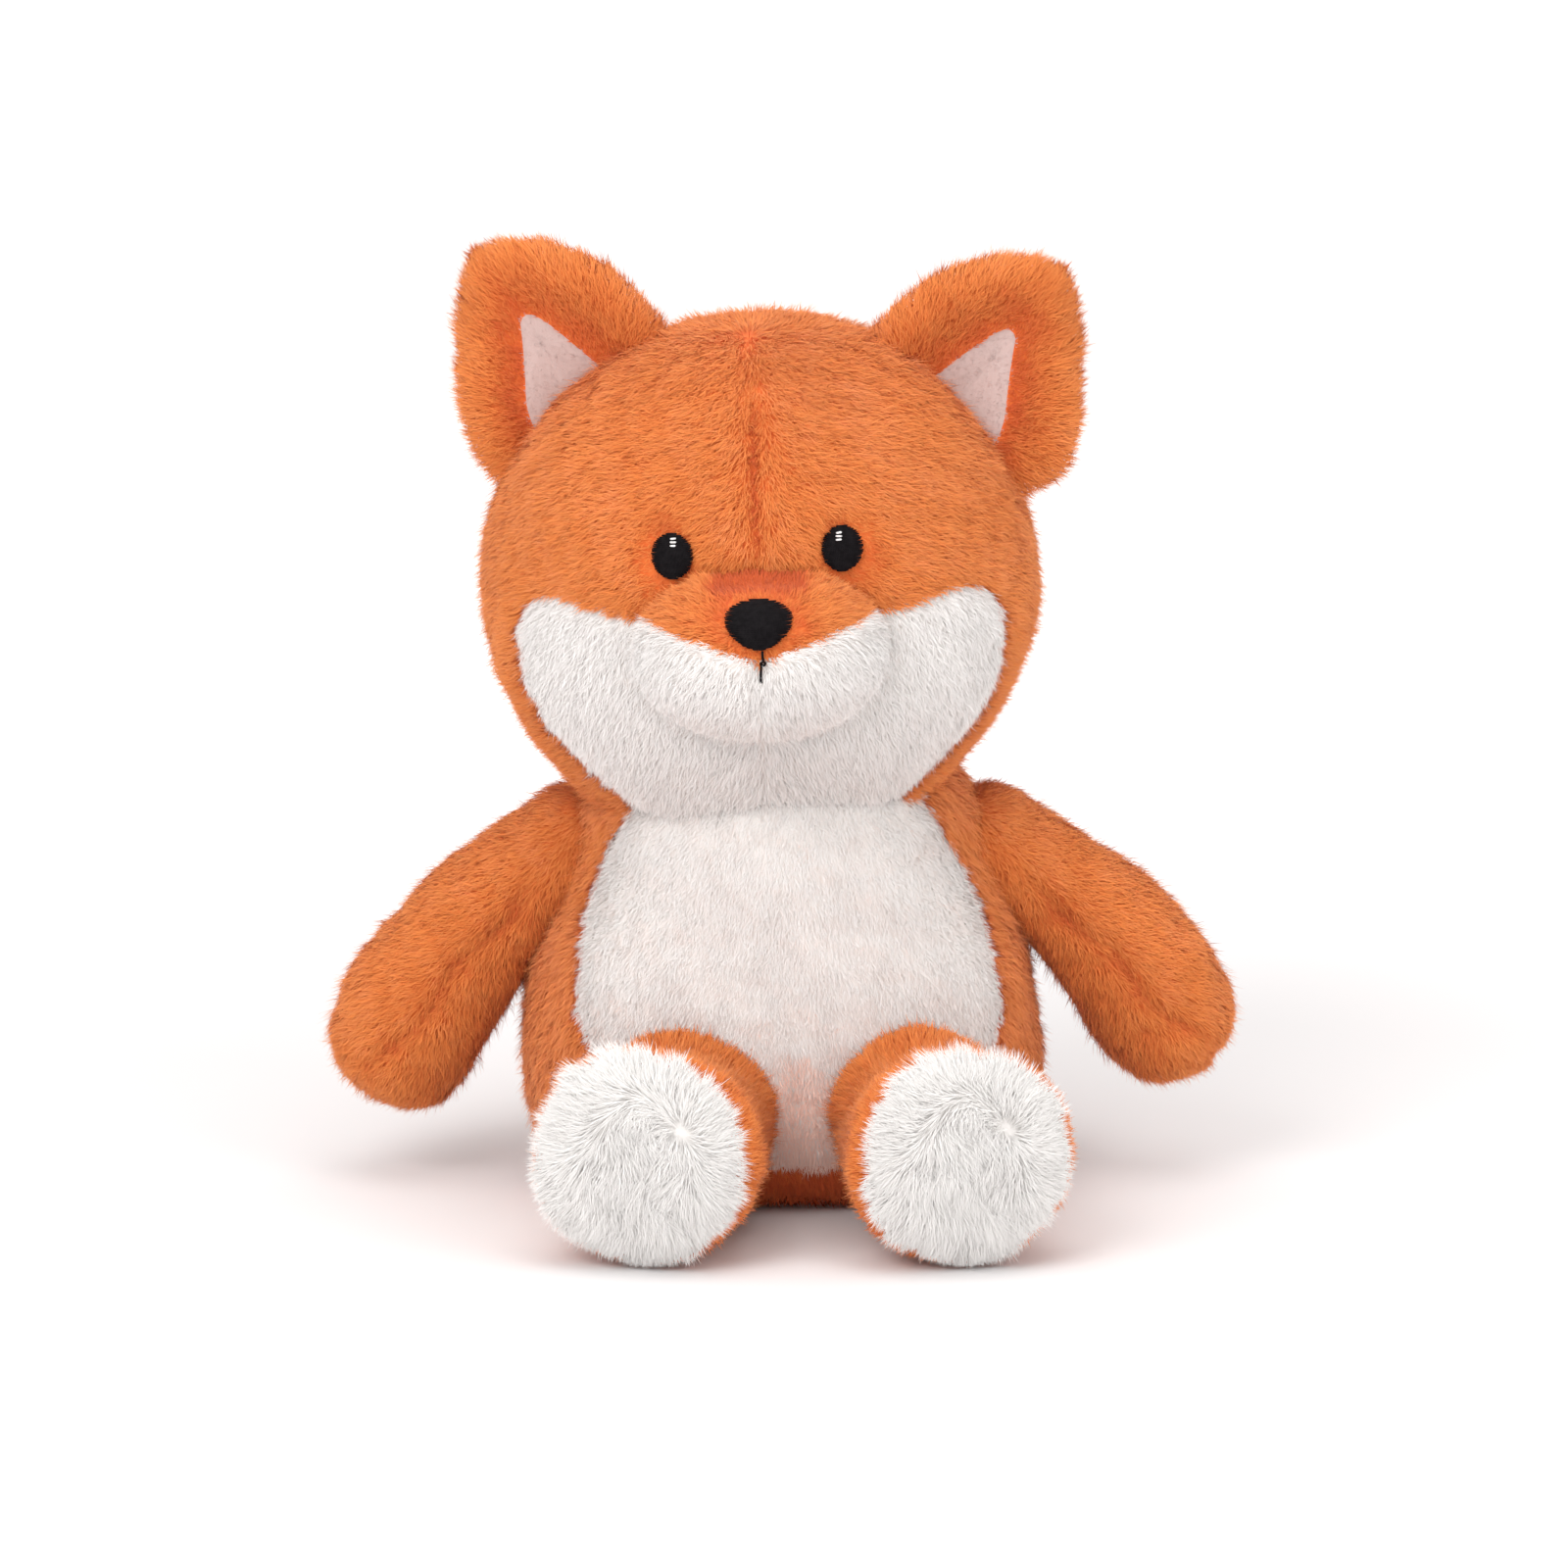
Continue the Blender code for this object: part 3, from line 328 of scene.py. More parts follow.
def grow(rng, pile, points, normals, comb, long, lean, tone, pull, width=1.0, clump=1.0, stray=0.34):
    """Locks of pile: each a blade bent at its middle, where it is widest, and pointed at its root and tip.

    comb is the way each lock is brushed and stray how much it wanders from it. long is its length,
    lean how far it lies over, in degrees, and pull how far it is drawn to the middle of its clump.
    width and clump are shares of the usual sizes. A few locks stand up out of the pile, and are thinner.
    """
    count = len(points)
    clump = pile.clump * clump
    comb = unit(flat_on(comb, normals) + 1e-9)
    swing = rng.normal(0, 1, (count, 1)) * np.reshape(stray, (-1, 1))
    loose = rng.random(count) < LOOSE_SHARE
    lean = np.where(loose, lean - rng.uniform(18, 34, count), lean)
    width = pile.fibre_width * width * (1.35 - 0.50 * fine_share(normals)) * np.where(loose, 0.75, 1.0)
    comb = comb * np.cos(swing) + np.cross(normals, comb) * np.sin(swing)
    side = np.cross(comb, normals)
    size = (long * rng.uniform(0.72, 1.18, count) * np.where(loose, 1.12, 1.0))[:, None]
    low = np.radians(np.clip(lean - 16 + rng.normal(0, 7, count), 3, 88))[:, None]
    high = np.radians(np.clip(lean + 14 + rng.normal(0, 9, count), 3, 100))[:, None]
    rise, over = (normals * np.cos(bend) + comb * np.sin(bend) for bend in (low, high))
    home = np.floor(points / clump + 0.35 * np.sin(points[:, ::-1] / clump * 1.7))
    key = (home.astype(np.int64) * np.array([73856093, 19349663, 83492791])).sum(1)    # one for each clump
    shake = np.stack([((key * m) % 1009) / 1009.0 for m in (31, 57, 83)], 1)
    drawn = flat_on((home + 0.2 + 0.6 * shake) * clump - points, normals)
    drawn *= np.minimum(1.0, clump / np.maximum(np.linalg.norm(drawn, axis=1, keepdims=True), 1e-9))
    pull = np.reshape(pull, (-1, 1))
    start = points - normals * ROOT_DEPTH
    middle = start + rise * size * 0.52 + drawn * pull * 0.35
    tip = middle + over * size * 0.48 + drawn * pull * 0.65
    facing = normals * np.sin(low) - comb * np.cos(low)
    twist = rng.normal(0, 0.4, (count, 1))
    half_width = (width * rng.uniform(0.75, 1.25, count) / 2)[:, None]
    half = (side * np.cos(twist) + facing * np.sin(twist)) * half_width
    blades = np.stack((start, middle - half, middle + half, tip), 1)
    blades[:, :, 2] = np.maximum(blades[:, :, 2], 0.0003 + 0.0006 * rng.random((count, 1)))
    shade = unit(normals * 0.80 + facing * 0.26 + comb * rng.normal(0.08, 0.16, (count, 1))
                 + side * rng.normal(0, 0.18, (count, 1)))
    tone = np.clip(tone + (shake[:, 0] - 0.5) * 0.16 + rng.normal(0, 0.07, count), 0.02, 0.98)
    return {"blades": blades, "shade": shade, "tone": tone}


def sewn_piece(name, cloth, cells, locks, chosen, material):
    """One panel: its cloth cells and its locks of pile in one mesh."""
    i, j, k = (c[cells] for c in cloth.cells())
    cols = cloth.grid.shape[1]
    corners = [(i, j), (i + 1, j), (i + 1, k), (i, k)]
    if cloth.flip:
        corners = corners[::-1]
    ids = np.stack([a * cols + b for a, b in corners], 1)
    used, faces = np.unique(ids, return_inverse=True)
    faces = faces.reshape(ids.shape)
    skin = cloth.grid.reshape(-1, 3)[used].copy()
    skin[:, 2] = np.maximum(skin[:, 2], FLOOR_GAP)
    blades, shade, tone = (locks[part][chosen] for part in ("blades", "shade", "tone"))
    count = len(blades)
    points = np.concatenate((skin, blades.reshape(-1, 3)))
    normals = np.concatenate((cloth.normal.reshape(-1, 3)[used], np.repeat(shade, 4, 0)))
    blade_loops = len(skin) + 4 * np.arange(count)[:, None] + np.array([0, 2, 1, 1, 2, 3])
    loops = np.concatenate((faces.ravel(), blade_loops.ravel()))
    starts = np.concatenate((4 * np.arange(len(faces)), 4 * len(faces) + 3 * np.arange(2 * count)))
    mesh = bpy.data.meshes.new(name)
    mesh.vertices.add(len(points))
    mesh.vertices.foreach_set("co", points.astype(np.float32).ravel())
    mesh.loops.add(len(loops))
    mesh.loops.foreach_set("vertex_index", loops.astype(np.int32))
    mesh.polygons.add(len(starts))
    mesh.polygons.foreach_set("loop_start", starts.astype(np.int32))
    rng = np.random.default_rng(len(faces))
    skin_u = np.clip(CLOTH_TONE + rng.normal(0, 0.05, len(faces)), 0.02, 0.98)[:, None]
    skin_uv = np.stack((skin_u + np.array([-1, 1, 1, -1]) * MAP_HALF_U,
                        CLOTH_V + np.array([0, 0, 1, 1]) * CLOTH_V + 0 * skin_u), 2)
    across = np.array([0, 1, -1, -1, 1, 0]) * MAP_HALF_U
    middle_v = 0.5 * PILE_TIP_V
    up = np.array([ROOT_V, middle_v, middle_v, middle_v, middle_v, PILE_TIP_V])
    blade_uv = np.stack((tone[:, None] + across, np.broadcast_to(up, (count, 6))), 2)
    uv = np.concatenate((skin_uv.reshape(-1, 2), blade_uv.reshape(-1, 2)))
    layer = mesh.uv_layers.new(name=PILE_MAP)
    layer.uv.foreach_set("vector", uv.astype(np.float32).ravel())
    mesh.update(calc_edges=True)
    mesh.validate()
    mesh.polygons.foreach_set("use_smooth", np.ones(len(mesh.polygons), bool))
    mesh.normals_split_custom_set_from_vertices(normals.astype(np.float32))
    mesh.materials.append(material)
    return put_in_scene(name, mesh)


def settle(piece, body, slot, fill, *nodes):
    """The piece rides on its body and stands for its CAD nodes."""
    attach(piece, body)
    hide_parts(*nodes)


def sew_panels(body, fill, cloth, cells, locks, labels, *panels):
    """Sews one piece for each panel: its name, its kind of pile and what filling it stands for too."""
    for index, (name, kind, *filling) in enumerate(panels):
        piece = sewn_piece(f"{name}_plush", cloth, cells == index, locks, labels == index, plush(kind))
        settle(piece, body, kind, fill, name, *filling)


# Materials

def feed(tree, node, inputs):
    """Gives a node's inputs their values, or the outputs that they are linked to."""
    for name, value in inputs.items():
        if isinstance(value, bpy.types.NodeSocket):
            tree.links.new(value, node.inputs[name])
        else:
            node.inputs[name].default_value = value


def add_node(tree, kind, inputs=None, **looks):
    """Adds one node, sets its own settings, and then feeds its inputs."""
    made = tree.nodes.new(f"ShaderNode{kind}")
    for name, value in looks.items():
        setattr(made, name, value)
    feed(tree, made, inputs or {})
    return made


def add_ramp(tree, source, *stops):
    """A ColorRamp with its stops: (place, colour)."""
    made = add_node(tree, "ValToRGB", {0: source})
    elements = made.color_ramp.elements
    while len(elements) > 1:
        elements.remove(elements[-1])
    elements[0].position = stops[0][0]
    elements[0].color = (*stops[0][1], 1)
    for place, value in stops[1:]:
        elements.new(place).color = (*value, 1)
    return made.outputs[0]


def new_material(name):
    made = bpy.data.materials.new(name)
    made.use_nodes = True
    return made, made.node_tree, made.node_tree.nodes["Principled BSDF"]


def toned(colour_of, gain, towards=None, share=0.0):
    """A colour made lighter or darker, and then mixed towards another."""
    made = [c * gain for c in colour_of]
    if towards:
        made = [c * (1 - share) + t * share for c, t in zip(made, towards)]
    return tuple(min(1.0, c) for c in made)


def pile_material(name, root, tip, deep, spread, sheen=0.15, strong=0.62, mid=0.16, dark=1.0):
    """Pile seen from its root to its tip along the map's height, and by each lock's tone across it.

    deep is the colour that dark locks take, strong and mid how much of it they take, spread how far
    the tones lie apart, and dark the gain of the very darkest.
    """
    made, tree, shader = new_material(name)
    place = add_node(tree, "UVMap", uv_map=PILE_MAP)
    parts = add_node(tree, "SeparateXYZ", {0: place.outputs["UV"]})
    low = 1 - 1.6 * spread
    # The lower tones, taken towards deep, carry both the random tone of the locks and the painted shade of
    # partings, furrows and creases; the darkest stop serves the painted shade alone.
    ramps = [add_ramp(tree, parts.outputs["X"],
                      (0.0, toned(colour_of, dark * low, deep, strong)),
                      (0.12, toned(colour_of, low, deep, strong)),
                      (0.30, toned(colour_of, 1 - spread, deep, mid)),
                      (0.55, toned(colour_of, 1.0)),
                      (1.0, toned(colour_of, 1 + spread, (1, 1, 1), 0.05))) for colour_of in (root, tip)]
    # Each lock lightens from root to tip: painted shade among the roots and painted light on the tips.
    along = add_node(tree, "MapRange", {"From Min": 0.0, "From Max": PILE_TIP_V, "Value": parts.outputs["Y"]},
                     interpolation_type="SMOOTHSTEP")
    mix = add_node(tree, "Mix", {"Factor": along.outputs[0], "A": ramps[0], "B": ramps[1]}, data_type="RGBA")
    rough = add_node(tree, "MapRange", {"From Max": PILE_TIP_V, "To Min": 1.0, "To Max": 0.72,
                                        "Value": parts.outputs["Y"]})
    feed(tree, shader, {"Base Color": mix.outputs["Result"], "Roughness": rough.outputs[0],
                        "Specular IOR Level": 0.14, "Sheen Weight": sheen, "Sheen Roughness": 0.6})
    return made


def thread_material(name, colour_of, roughness):
    """Twisted shiny thread: a fine slanting twist, with lint and wear in it."""
    made, tree, shader = new_material(name)
    place = add_node(tree, "TexCoord").outputs["Object"]
    wave = add_node(tree, "TexWave", {"Scale": 900.0, "Distortion": 1.5, "Vector": place},
                    wave_type="BANDS", bands_direction="DIAGONAL")
    lint = add_node(tree, "TexNoise", {"Scale": 700.0, "Detail": 3.0, "Vector": place}).outputs[0]
    ramp = add_ramp(tree, lint, (0.35, toned(colour_of, 0.75)),
                    (0.75, toned(colour_of, 1.25, (1, 1, 1), 0.004)))
    rough = add_node(tree, "MapRange", {"To Min": roughness - 0.1, "To Max": roughness + 0.15, "Value": lint})
    bump = add_node(tree, "Bump", {"Strength": 0.35, "Distance": 0.0001, "Height": wave.outputs[1]})
    feed(tree, shader, {"Base Color": ramp, "Roughness": rough.outputs[0], "Specular IOR Level": 0.06,
                        "Normal": bump.outputs[0]})
    return made


def filling_material(name, colour_of):
    """Fluffy filling: fine tangled fibres."""
    made, tree, shader = new_material(name)
    place = add_node(tree, "TexCoord").outputs["Object"]
    tangle = add_node(tree, "TexNoise", {"Scale": 420.0, "Detail": 6.0, "Distortion": 1.2,
                                         "Vector": place}).outputs[0]
    ramp = add_ramp(tree, tangle, (0.3, toned(colour_of, 0.86)), (0.7, toned(colour_of, 1.08)))
    bump = add_node(tree, "Bump", {"Strength": 0.5, "Distance": 0.0004, "Height": tangle})
    feed(tree, shader, {"Base Color": ramp, "Roughness": 0.95, "Normal": bump.outputs[0]})
    return made


def plush(slot):
    """The material of one kind of pile, thread or filling, made when first asked for."""
    name = f"sewn_{slot}"
    found = bpy.data.materials.get(name)
    if found:
        return found
    c = bpy.context.scene.fox_colours
    # The deep red that dark orange locks take is the colour of painted shade.
    if slot == "orange_plush":
        return pile_material(name, c.orange_root, c.orange_tip, (0.70, 0.088, 0.028), 0.09,
                             sheen=0.08, mid=0.34, dark=0.55)
    # The pinkish deep of the white pile is painted bounce light from the orange fur, with painted shade.
    if slot == "white_plush":
        return pile_material(name, c.white_root, c.white_tip, (0.98, 0.66, 0.55), 0.03, strong=0.92)
    if slot == "long_white_plush":
        return pile_material(name, c.sole_root, c.sole_tip, (0.79, 0.73, 0.70), 0.03)
    # The lining's darker roots and lighter tips are painted shade and painted light.
    if slot == "ear_lining":
        return pile_material(name, toned(c.lining, 0.94), toned(c.lining, 1.03), (0.50, 0.30, 0.27), 0.05)
    if slot == "black_thread":
        return thread_material(name, c.thread, 0.6)
    if slot == "white_thread":
        return thread_material(name, c.spark, 0.5)
    return filling_material(name, c.filling)


# The forms of cloth, in metres: the head, the muzzle and the face in the head's own frame

HEAD_PLACE = Matrix.Translation((-0.0055, -0.005, 0.1585)) @ Matrix.Rotation(math.radians(-1.6), 4, "Y")
HEAD_HALF = np.array([0.071, 0.063, 0.071])
HEAD_SEAM_Y = 0.004      # the seam over the crown, between the front and the back of the head
CHEEK_LINE = [(x * 0.0636, z) for x, z in (
    (0, -0.004), (0.50, 0.0005), (0.66, 0.0032), (0.76, 0.0047), (0.83, 0.0049), (0.89, 0.0037),
    (0.935, 0.0008), (0.962, -0.0038), (0.970, -0.0095), (0.952, -0.0180), (0.88, -0.0290),
    (0.715, -0.0412), (0.53, -0.0512), (0.40, -0.070), (0.38, -0.082))]
CHEEK_OUTLINE = [*CHEEK_LINE, (0, -0.082)]
MUZZLE_AT = np.array([0.0, -0.056, -0.0085])
MUZZLE_HALF = np.array([0.031, 0.029, 0.0215])
EYES = {"left": (-0.0215, 0.0161), "right": (0.0215, 0.0169)}
EYE_HALF = (0.0053, 0.0057)
SPARKS = {"left": (0.0003, 0.0035), "right": (-0.0009, 0.0031)}
NOSE_AT = (0.0, 0.0010)
NOSE_HALF = (0.0083, 0.0059)
SPARK_HALF, SPARK_PITCH = (0.00055, 0.0013), 0.00075
UNEVEN_END, UNEVEN_TURN = 0.00012, 0.00004      # how far the ends of a stitch miss their place
MOUTH = (((0.0008, -0.0052), (0.0008, -0.0066), (0.0010, -0.0080)),
         ((0.0008, -0.0078), (0.0014, -0.0083), (0.0007, -0.0088), (0.0003, -0.0083), (0.0010, -0.0079)),
         ((0.0005, -0.0084), (0.0003, -0.0102), (0.0002, -0.0120), (0.0003, -0.0132)))
HEAD_MEAN_R, HEAD_ROUND_R, MUZZLE_MEAN_R, MUZZLE_ROUND_R, BODY_MEAN_R = 0.067, 0.068, 0.026, 0.030, 0.055
NECK = np.array([0.0, 0.0, 0.085])
DOME_R = 0.050
BODY_UP, BODY_ROUND = 0.26, 0.40      # the cloth's length from foot to crown and round the body
BODY_ROWS = [(0.0006, 0.030, 0.024), (0.0028, 0.0525, 0.0420), (0.0102, 0.0620, 0.0480),    # z and half sizes
             (0.022, 0.0668, 0.0518), (0.0357, 0.0681, 0.0530), (0.050, 0.0667, 0.0534),
             (0.0629, 0.0632, 0.0526), (0.0760, 0.0560, 0.0506)]
BODY_ASIDE, BELLY_ASIDE = 0.0003, 0.0057
BELLY_FOOT, BELLY_TALL, BELLY_HALF_W = 0.0128, 0.0952, 0.0555
SEAT_Z = 0.007           # the seam round the seat


def ring(cols):
    turn = np.linspace(0, math.tau, cols, endpoint=False)
    return np.cos(turn), np.sin(turn)


def ball(half, rows, cols, waist=np.ones_like):
    """The points of an ellipsoid, from its bottom up. waist says how much slimmer its rows are."""
    turn = np.linspace(0, math.pi, rows)[:, None]
    cosine, sine = ring(cols)
    wide = np.sin(turn) * waist(turn)
    return np.stack((half[0] * wide * cosine, half[1] * wide * sine, -half[2] * np.cos(turn) + 0 * cosine), 2)


def drawn_in(grid, depth):
    """The points drawn in by depth along their normals, and both poles closed."""
    grid = grid - Cloth(grid).normal * depth[..., None]
    grid[0], grid[-1] = grid[0].mean(0), grid[-1].mean(0)
    return grid


def lumps_on(grid, high, size, seed):
    """The soft lumps of the filling under the cloth."""
    return high * waves(grid.reshape(-1, 3), size, seed).reshape(grid.shape[:2])


def aside(foot, z):
    """How far the middle of the body or belly lies to the side: foot at the floor, 0 at the neck."""
    return foot * np.maximum(0.0, 1.0 - z / NECK[2])


def belly_line():
    """The closed outline of the white belly, seen from the front."""
    right, left = [], []
    for up, out in ((1.18, 0.50), (1.0, 0.64), (0.84, 0.80), (0.64, 0.93), (0.40, 1.0), (0.20, 0.88),
                    (0.07, 0.52), (0.0, 0.14)):
        z = BELLY_FOOT + up * BELLY_TALL
        mid = float(aside(BELLY_ASIDE, z))
        right.append((mid + out * BELLY_HALF_W, z))
        left.append((mid - out * BELLY_HALF_W, z))
    return right + left[::-1]


def body_depth(world):
    """How far a point lies within the body below its dome, in metres, about."""
    z, wide, deep = np.array(BODY_ROWS).T
    height = world[..., 2]
    share = np.hypot((world[..., 0] - aside(BODY_ASIDE, height)) / np.interp(height, z, wide),
                     world[..., 1] / np.interp(height, z, deep))
    return (1 - share) * BODY_MEAN_R


def body_cloth(shape):
    """The pear of the body and the dome that carries the head."""
    width = shape.seam_width
    rows = [(BODY_ROWS[0][0], 0.0, 0.0), BODY_ROWS[0], (0.0008, 0.044, 0.035), *BODY_ROWS[1:]]
    for turn in np.radians((84, 72, 60, 48, 36, 24, 12, 0)):
        ring_r = DOME_R * math.sin(turn)
        rows.append((NECK[2] + DOME_R * math.cos(turn), ring_r, ring_r))
    run = through(rows, int(BODY_UP / shape.cell))
    cosine, sine = ring(int(BODY_ROUND / shape.cell))
    z = run[:, :1] + 0 * cosine
    x = aside(BODY_ASIDE, z) + np.maximum(run[:, 1:2], 0) * cosine
    y = np.maximum(run[:, 2:3], 0) * sine
    grid = np.stack((x, y, z), 2)
    front = smooth_step(0.004, -0.010, y)
    dart = np.abs(x - aside(BELLY_ASIDE, z)) + 1e-9
    low = smooth_step(0.050, 0.020, z) * front
    pull = 0.6 * front * bell(line_distance(x, z, closed(belly_line())), width)
    pull = pull + 1.2 * low * bell(dart, 1.1 * width)
    pull = pull + bell(x, width) * smooth_step(0.0, 0.01, y) * smooth_step(0.13, 0.10, z)
    pull = pull + bell(z - SEAT_Z, width) * (1 - 0.6 * front)
    lumps = lumps_on(grid, 0.0009, 0.045, 11)
    for side, _ in SIDES:
        shoulder = np.array(joint_point(f"arm_{side}_lift"))
        off = np.linalg.norm((grid - shoulder - (0, 0, 0.002)) / (1.0, 1.0, 1.15), axis=2)
        lumps = lumps + 0.0068 * bell(off, 0.0175)
    return Cloth(drawn_in(grid, np.minimum(pull, 1.2) * shape.seam_depth - lumps))


def head_waist(turn):
    """The head is a little slimmer between its chin and its middle."""
    return np.where(turn < math.pi / 2, 1.0 - 0.07 * np.sin(2 * turn) ** 2, 1.0)


def head_cloth(shape):
    """The round head with the creases of its seams."""
    width = shape.seam_width
    grid = ball(HEAD_HALF, int(math.pi * HEAD_HALF[2] / shape.cell), int(math.tau * HEAD_ROUND_R / shape.cell),
                head_waist)
    x, y, z = np.moveaxis(grid, 2, 0)
    front = smooth_step(0.010, -0.010, y)
    in_cheek = inside_outline(np.abs(x), z, CHEEK_OUTLINE)
    parting = bell(x, width) * ~in_cheek * np.where(y < 0, smooth_step(0.0, 0.02, z), 1.0)
    chin = bell(x, width) * in_cheek * smooth_step(-0.030, -0.042, z) * front
    crown = 0.9 * bell(y - HEAD_SEAM_Y, width)
    top = smooth_step(0.066, 0.050, z)
    pull = (0.8 * parting * top * smooth_step(0.074, 0.050, z) + chin + 0.3 * crown
            + 0.8 * front * bell(line_distance(np.abs(x), z, CHEEK_LINE), 1.1 * width))
    pull = pull + 1.0 * front * bell(muzzle_gap(grid), 0.0030)
    for ex, ez in EYES.values():
        off = np.hypot((x - ex) / 0.0075, (z - ez) / 0.0085)
        pull = pull + front * 0.9 * np.exp(-off**2 * 1.1)
    lobe = np.exp(-((np.abs(x) - 0.043) / 0.017) ** 2 - ((z + 0.022) / 0.018) ** 2)
    lumps = lumps_on(grid, 0.0011, 0.060, 23) + 0.0015 * lobe * front
    return Cloth(drawn_in(grid, np.minimum(pull, 1.3) * shape.seam_depth - lumps), HEAD_PLACE)


def head_depth(local):
    """How far a point lies within the head's ellipsoid, in metres, about."""
    return (1 - np.linalg.norm(local / HEAD_HALF, axis=-1)) * HEAD_MEAN_R


def muzzle_gap(local):
    """How far outside the muzzle a point is, in metres, about."""
    return (np.linalg.norm((local - MUZZLE_AT) / MUZZLE_HALF, axis=-1) - 1) * MUZZLE_MEAN_R


def muzzle_seam_z(x):
    return -0.0080 + 0.0098 * np.minimum(np.abs(x) / 0.031, 1.25)


def furrow_share(x, z, at, width):
    """1 in the furrow that arches over the nose, which is highest at the height at."""
    return bell(z - at + 14 * x**2, width) * smooth_step(0.0135, 0.0085, np.abs(x))


def muzzle_cloth(shape):
    """The rounded muzzle, whose back lies in the head."""
    cell, width = 0.8 * shape.cell, shape.seam_width
    grid = ball(MUZZLE_HALF, int(math.pi * MUZZLE_MEAN_R / cell), int(math.tau * MUZZLE_ROUND_R / cell))
    grid = grid + MUZZLE_AT
    x, y, z = np.moveaxis(grid, 2, 0)
    seam_z = muzzle_seam_z(x)
    seam = bell(z - seam_z, 0.8 * width)
    split = bell(x, 0.9 * width) * (z < seam_z) * smooth_step(-0.024, -0.018, z)
    nose = np.exp(-(np.hypot((x - NOSE_AT[0]) / 0.0105, (z - NOSE_AT[1]) / 0.0085)) ** 4)
    furrow = furrow_share(x, z, 0.0108, 0.0018) * (y < MUZZLE_AT[1])
    pull = 0.6 * seam + 1.5 * split + 0.5 * nose + 1.6 * furrow
    return Cloth(drawn_in(grid, pull * shape.seam_depth), HEAD_PLACE)


def limb_cloth(shape, place, root_r, run, round_from, tip, bow=0.0, side=1.0, depth=1.0, creases=None,
               on_floor=False):
    """A limb along its own X: a round root on the joint, its run and a round end.

    run holds x, radius and share of the bow, and round_from the x and radius where the round end starts.
    """
    cell = 0.85 * shape.cell
    rows = [(-root_r * math.cos(t), root_r * math.sin(t), 0.0) for t in np.linspace(0, math.pi / 2, 5)]
    rows += [(x, r, bent * bow) for x, r, bent in run]
    end_x, end_r = round_from
    rows += [(end_x + (tip - end_x) * math.sin(t), end_r * math.cos(t), 0.0)
             for t in np.linspace(0, math.pi / 2, 6)[1:]]
    line = through(rows, int((tip + root_r) * 1.35 / cell))
    cosine, sine = ring(int(math.tau * max(r for _, r, _ in rows) / cell))
    r = np.maximum(line[:, 1:2], 0)
    grid = np.stack((side * line[:, :1] + 0 * cosine, depth * r * cosine, r * sine + line[:, 2:3]), 2)
    pull = np.zeros(grid.shape[:2]) if creases is None else creases(grid, shape)
    lumps = lumps_on(grid, 0.0006, 0.030, 31 + int(1000 * root_r))
    made = Cloth(drawn_in(grid, pull * shape.seam_depth - lumps), place)
    if on_floor:
        made.grid[..., 2] = np.maximum(made.grid[..., 2], 0.0009)
        made = Cloth(made.to_local(made.grid), place)
    return made


# Which panel a point lies on: its number in the order in which the panels are sewn

def body_panel(p, belly, ragged=0.0):
    x, y, z = p.T
    shift = ragged * waves(p, 0.004, 5)
    in_belly = inside_outline(x + shift, z + shift, belly) & (y < 0)
    labels = np.where(z < SEAT_Z, 3, np.where(x < 0, 1, 2))
    return np.where(in_belly & (z > SEAT_Z), 0, labels)


def head_panel(p, ragged=0.0):
    x, y, z = p.T
    shift = ragged * waves(p, 0.0035, 15)
    right = (x > 0).astype(int)
    in_front = y < HEAD_SEAM_Y
    cheek = inside_outline(np.abs(x + shift), z + shift, CHEEK_OUTLINE) & in_front
    return np.where(cheek, 2 + right, np.where(in_front, 0, 4) + right)


def muzzle_panel(p, ragged=0.0):
    return np.where(p[:, 2] + ragged * waves(p, 0.003, 25) > muzzle_seam_z(p[:, 0]), 0, 1)


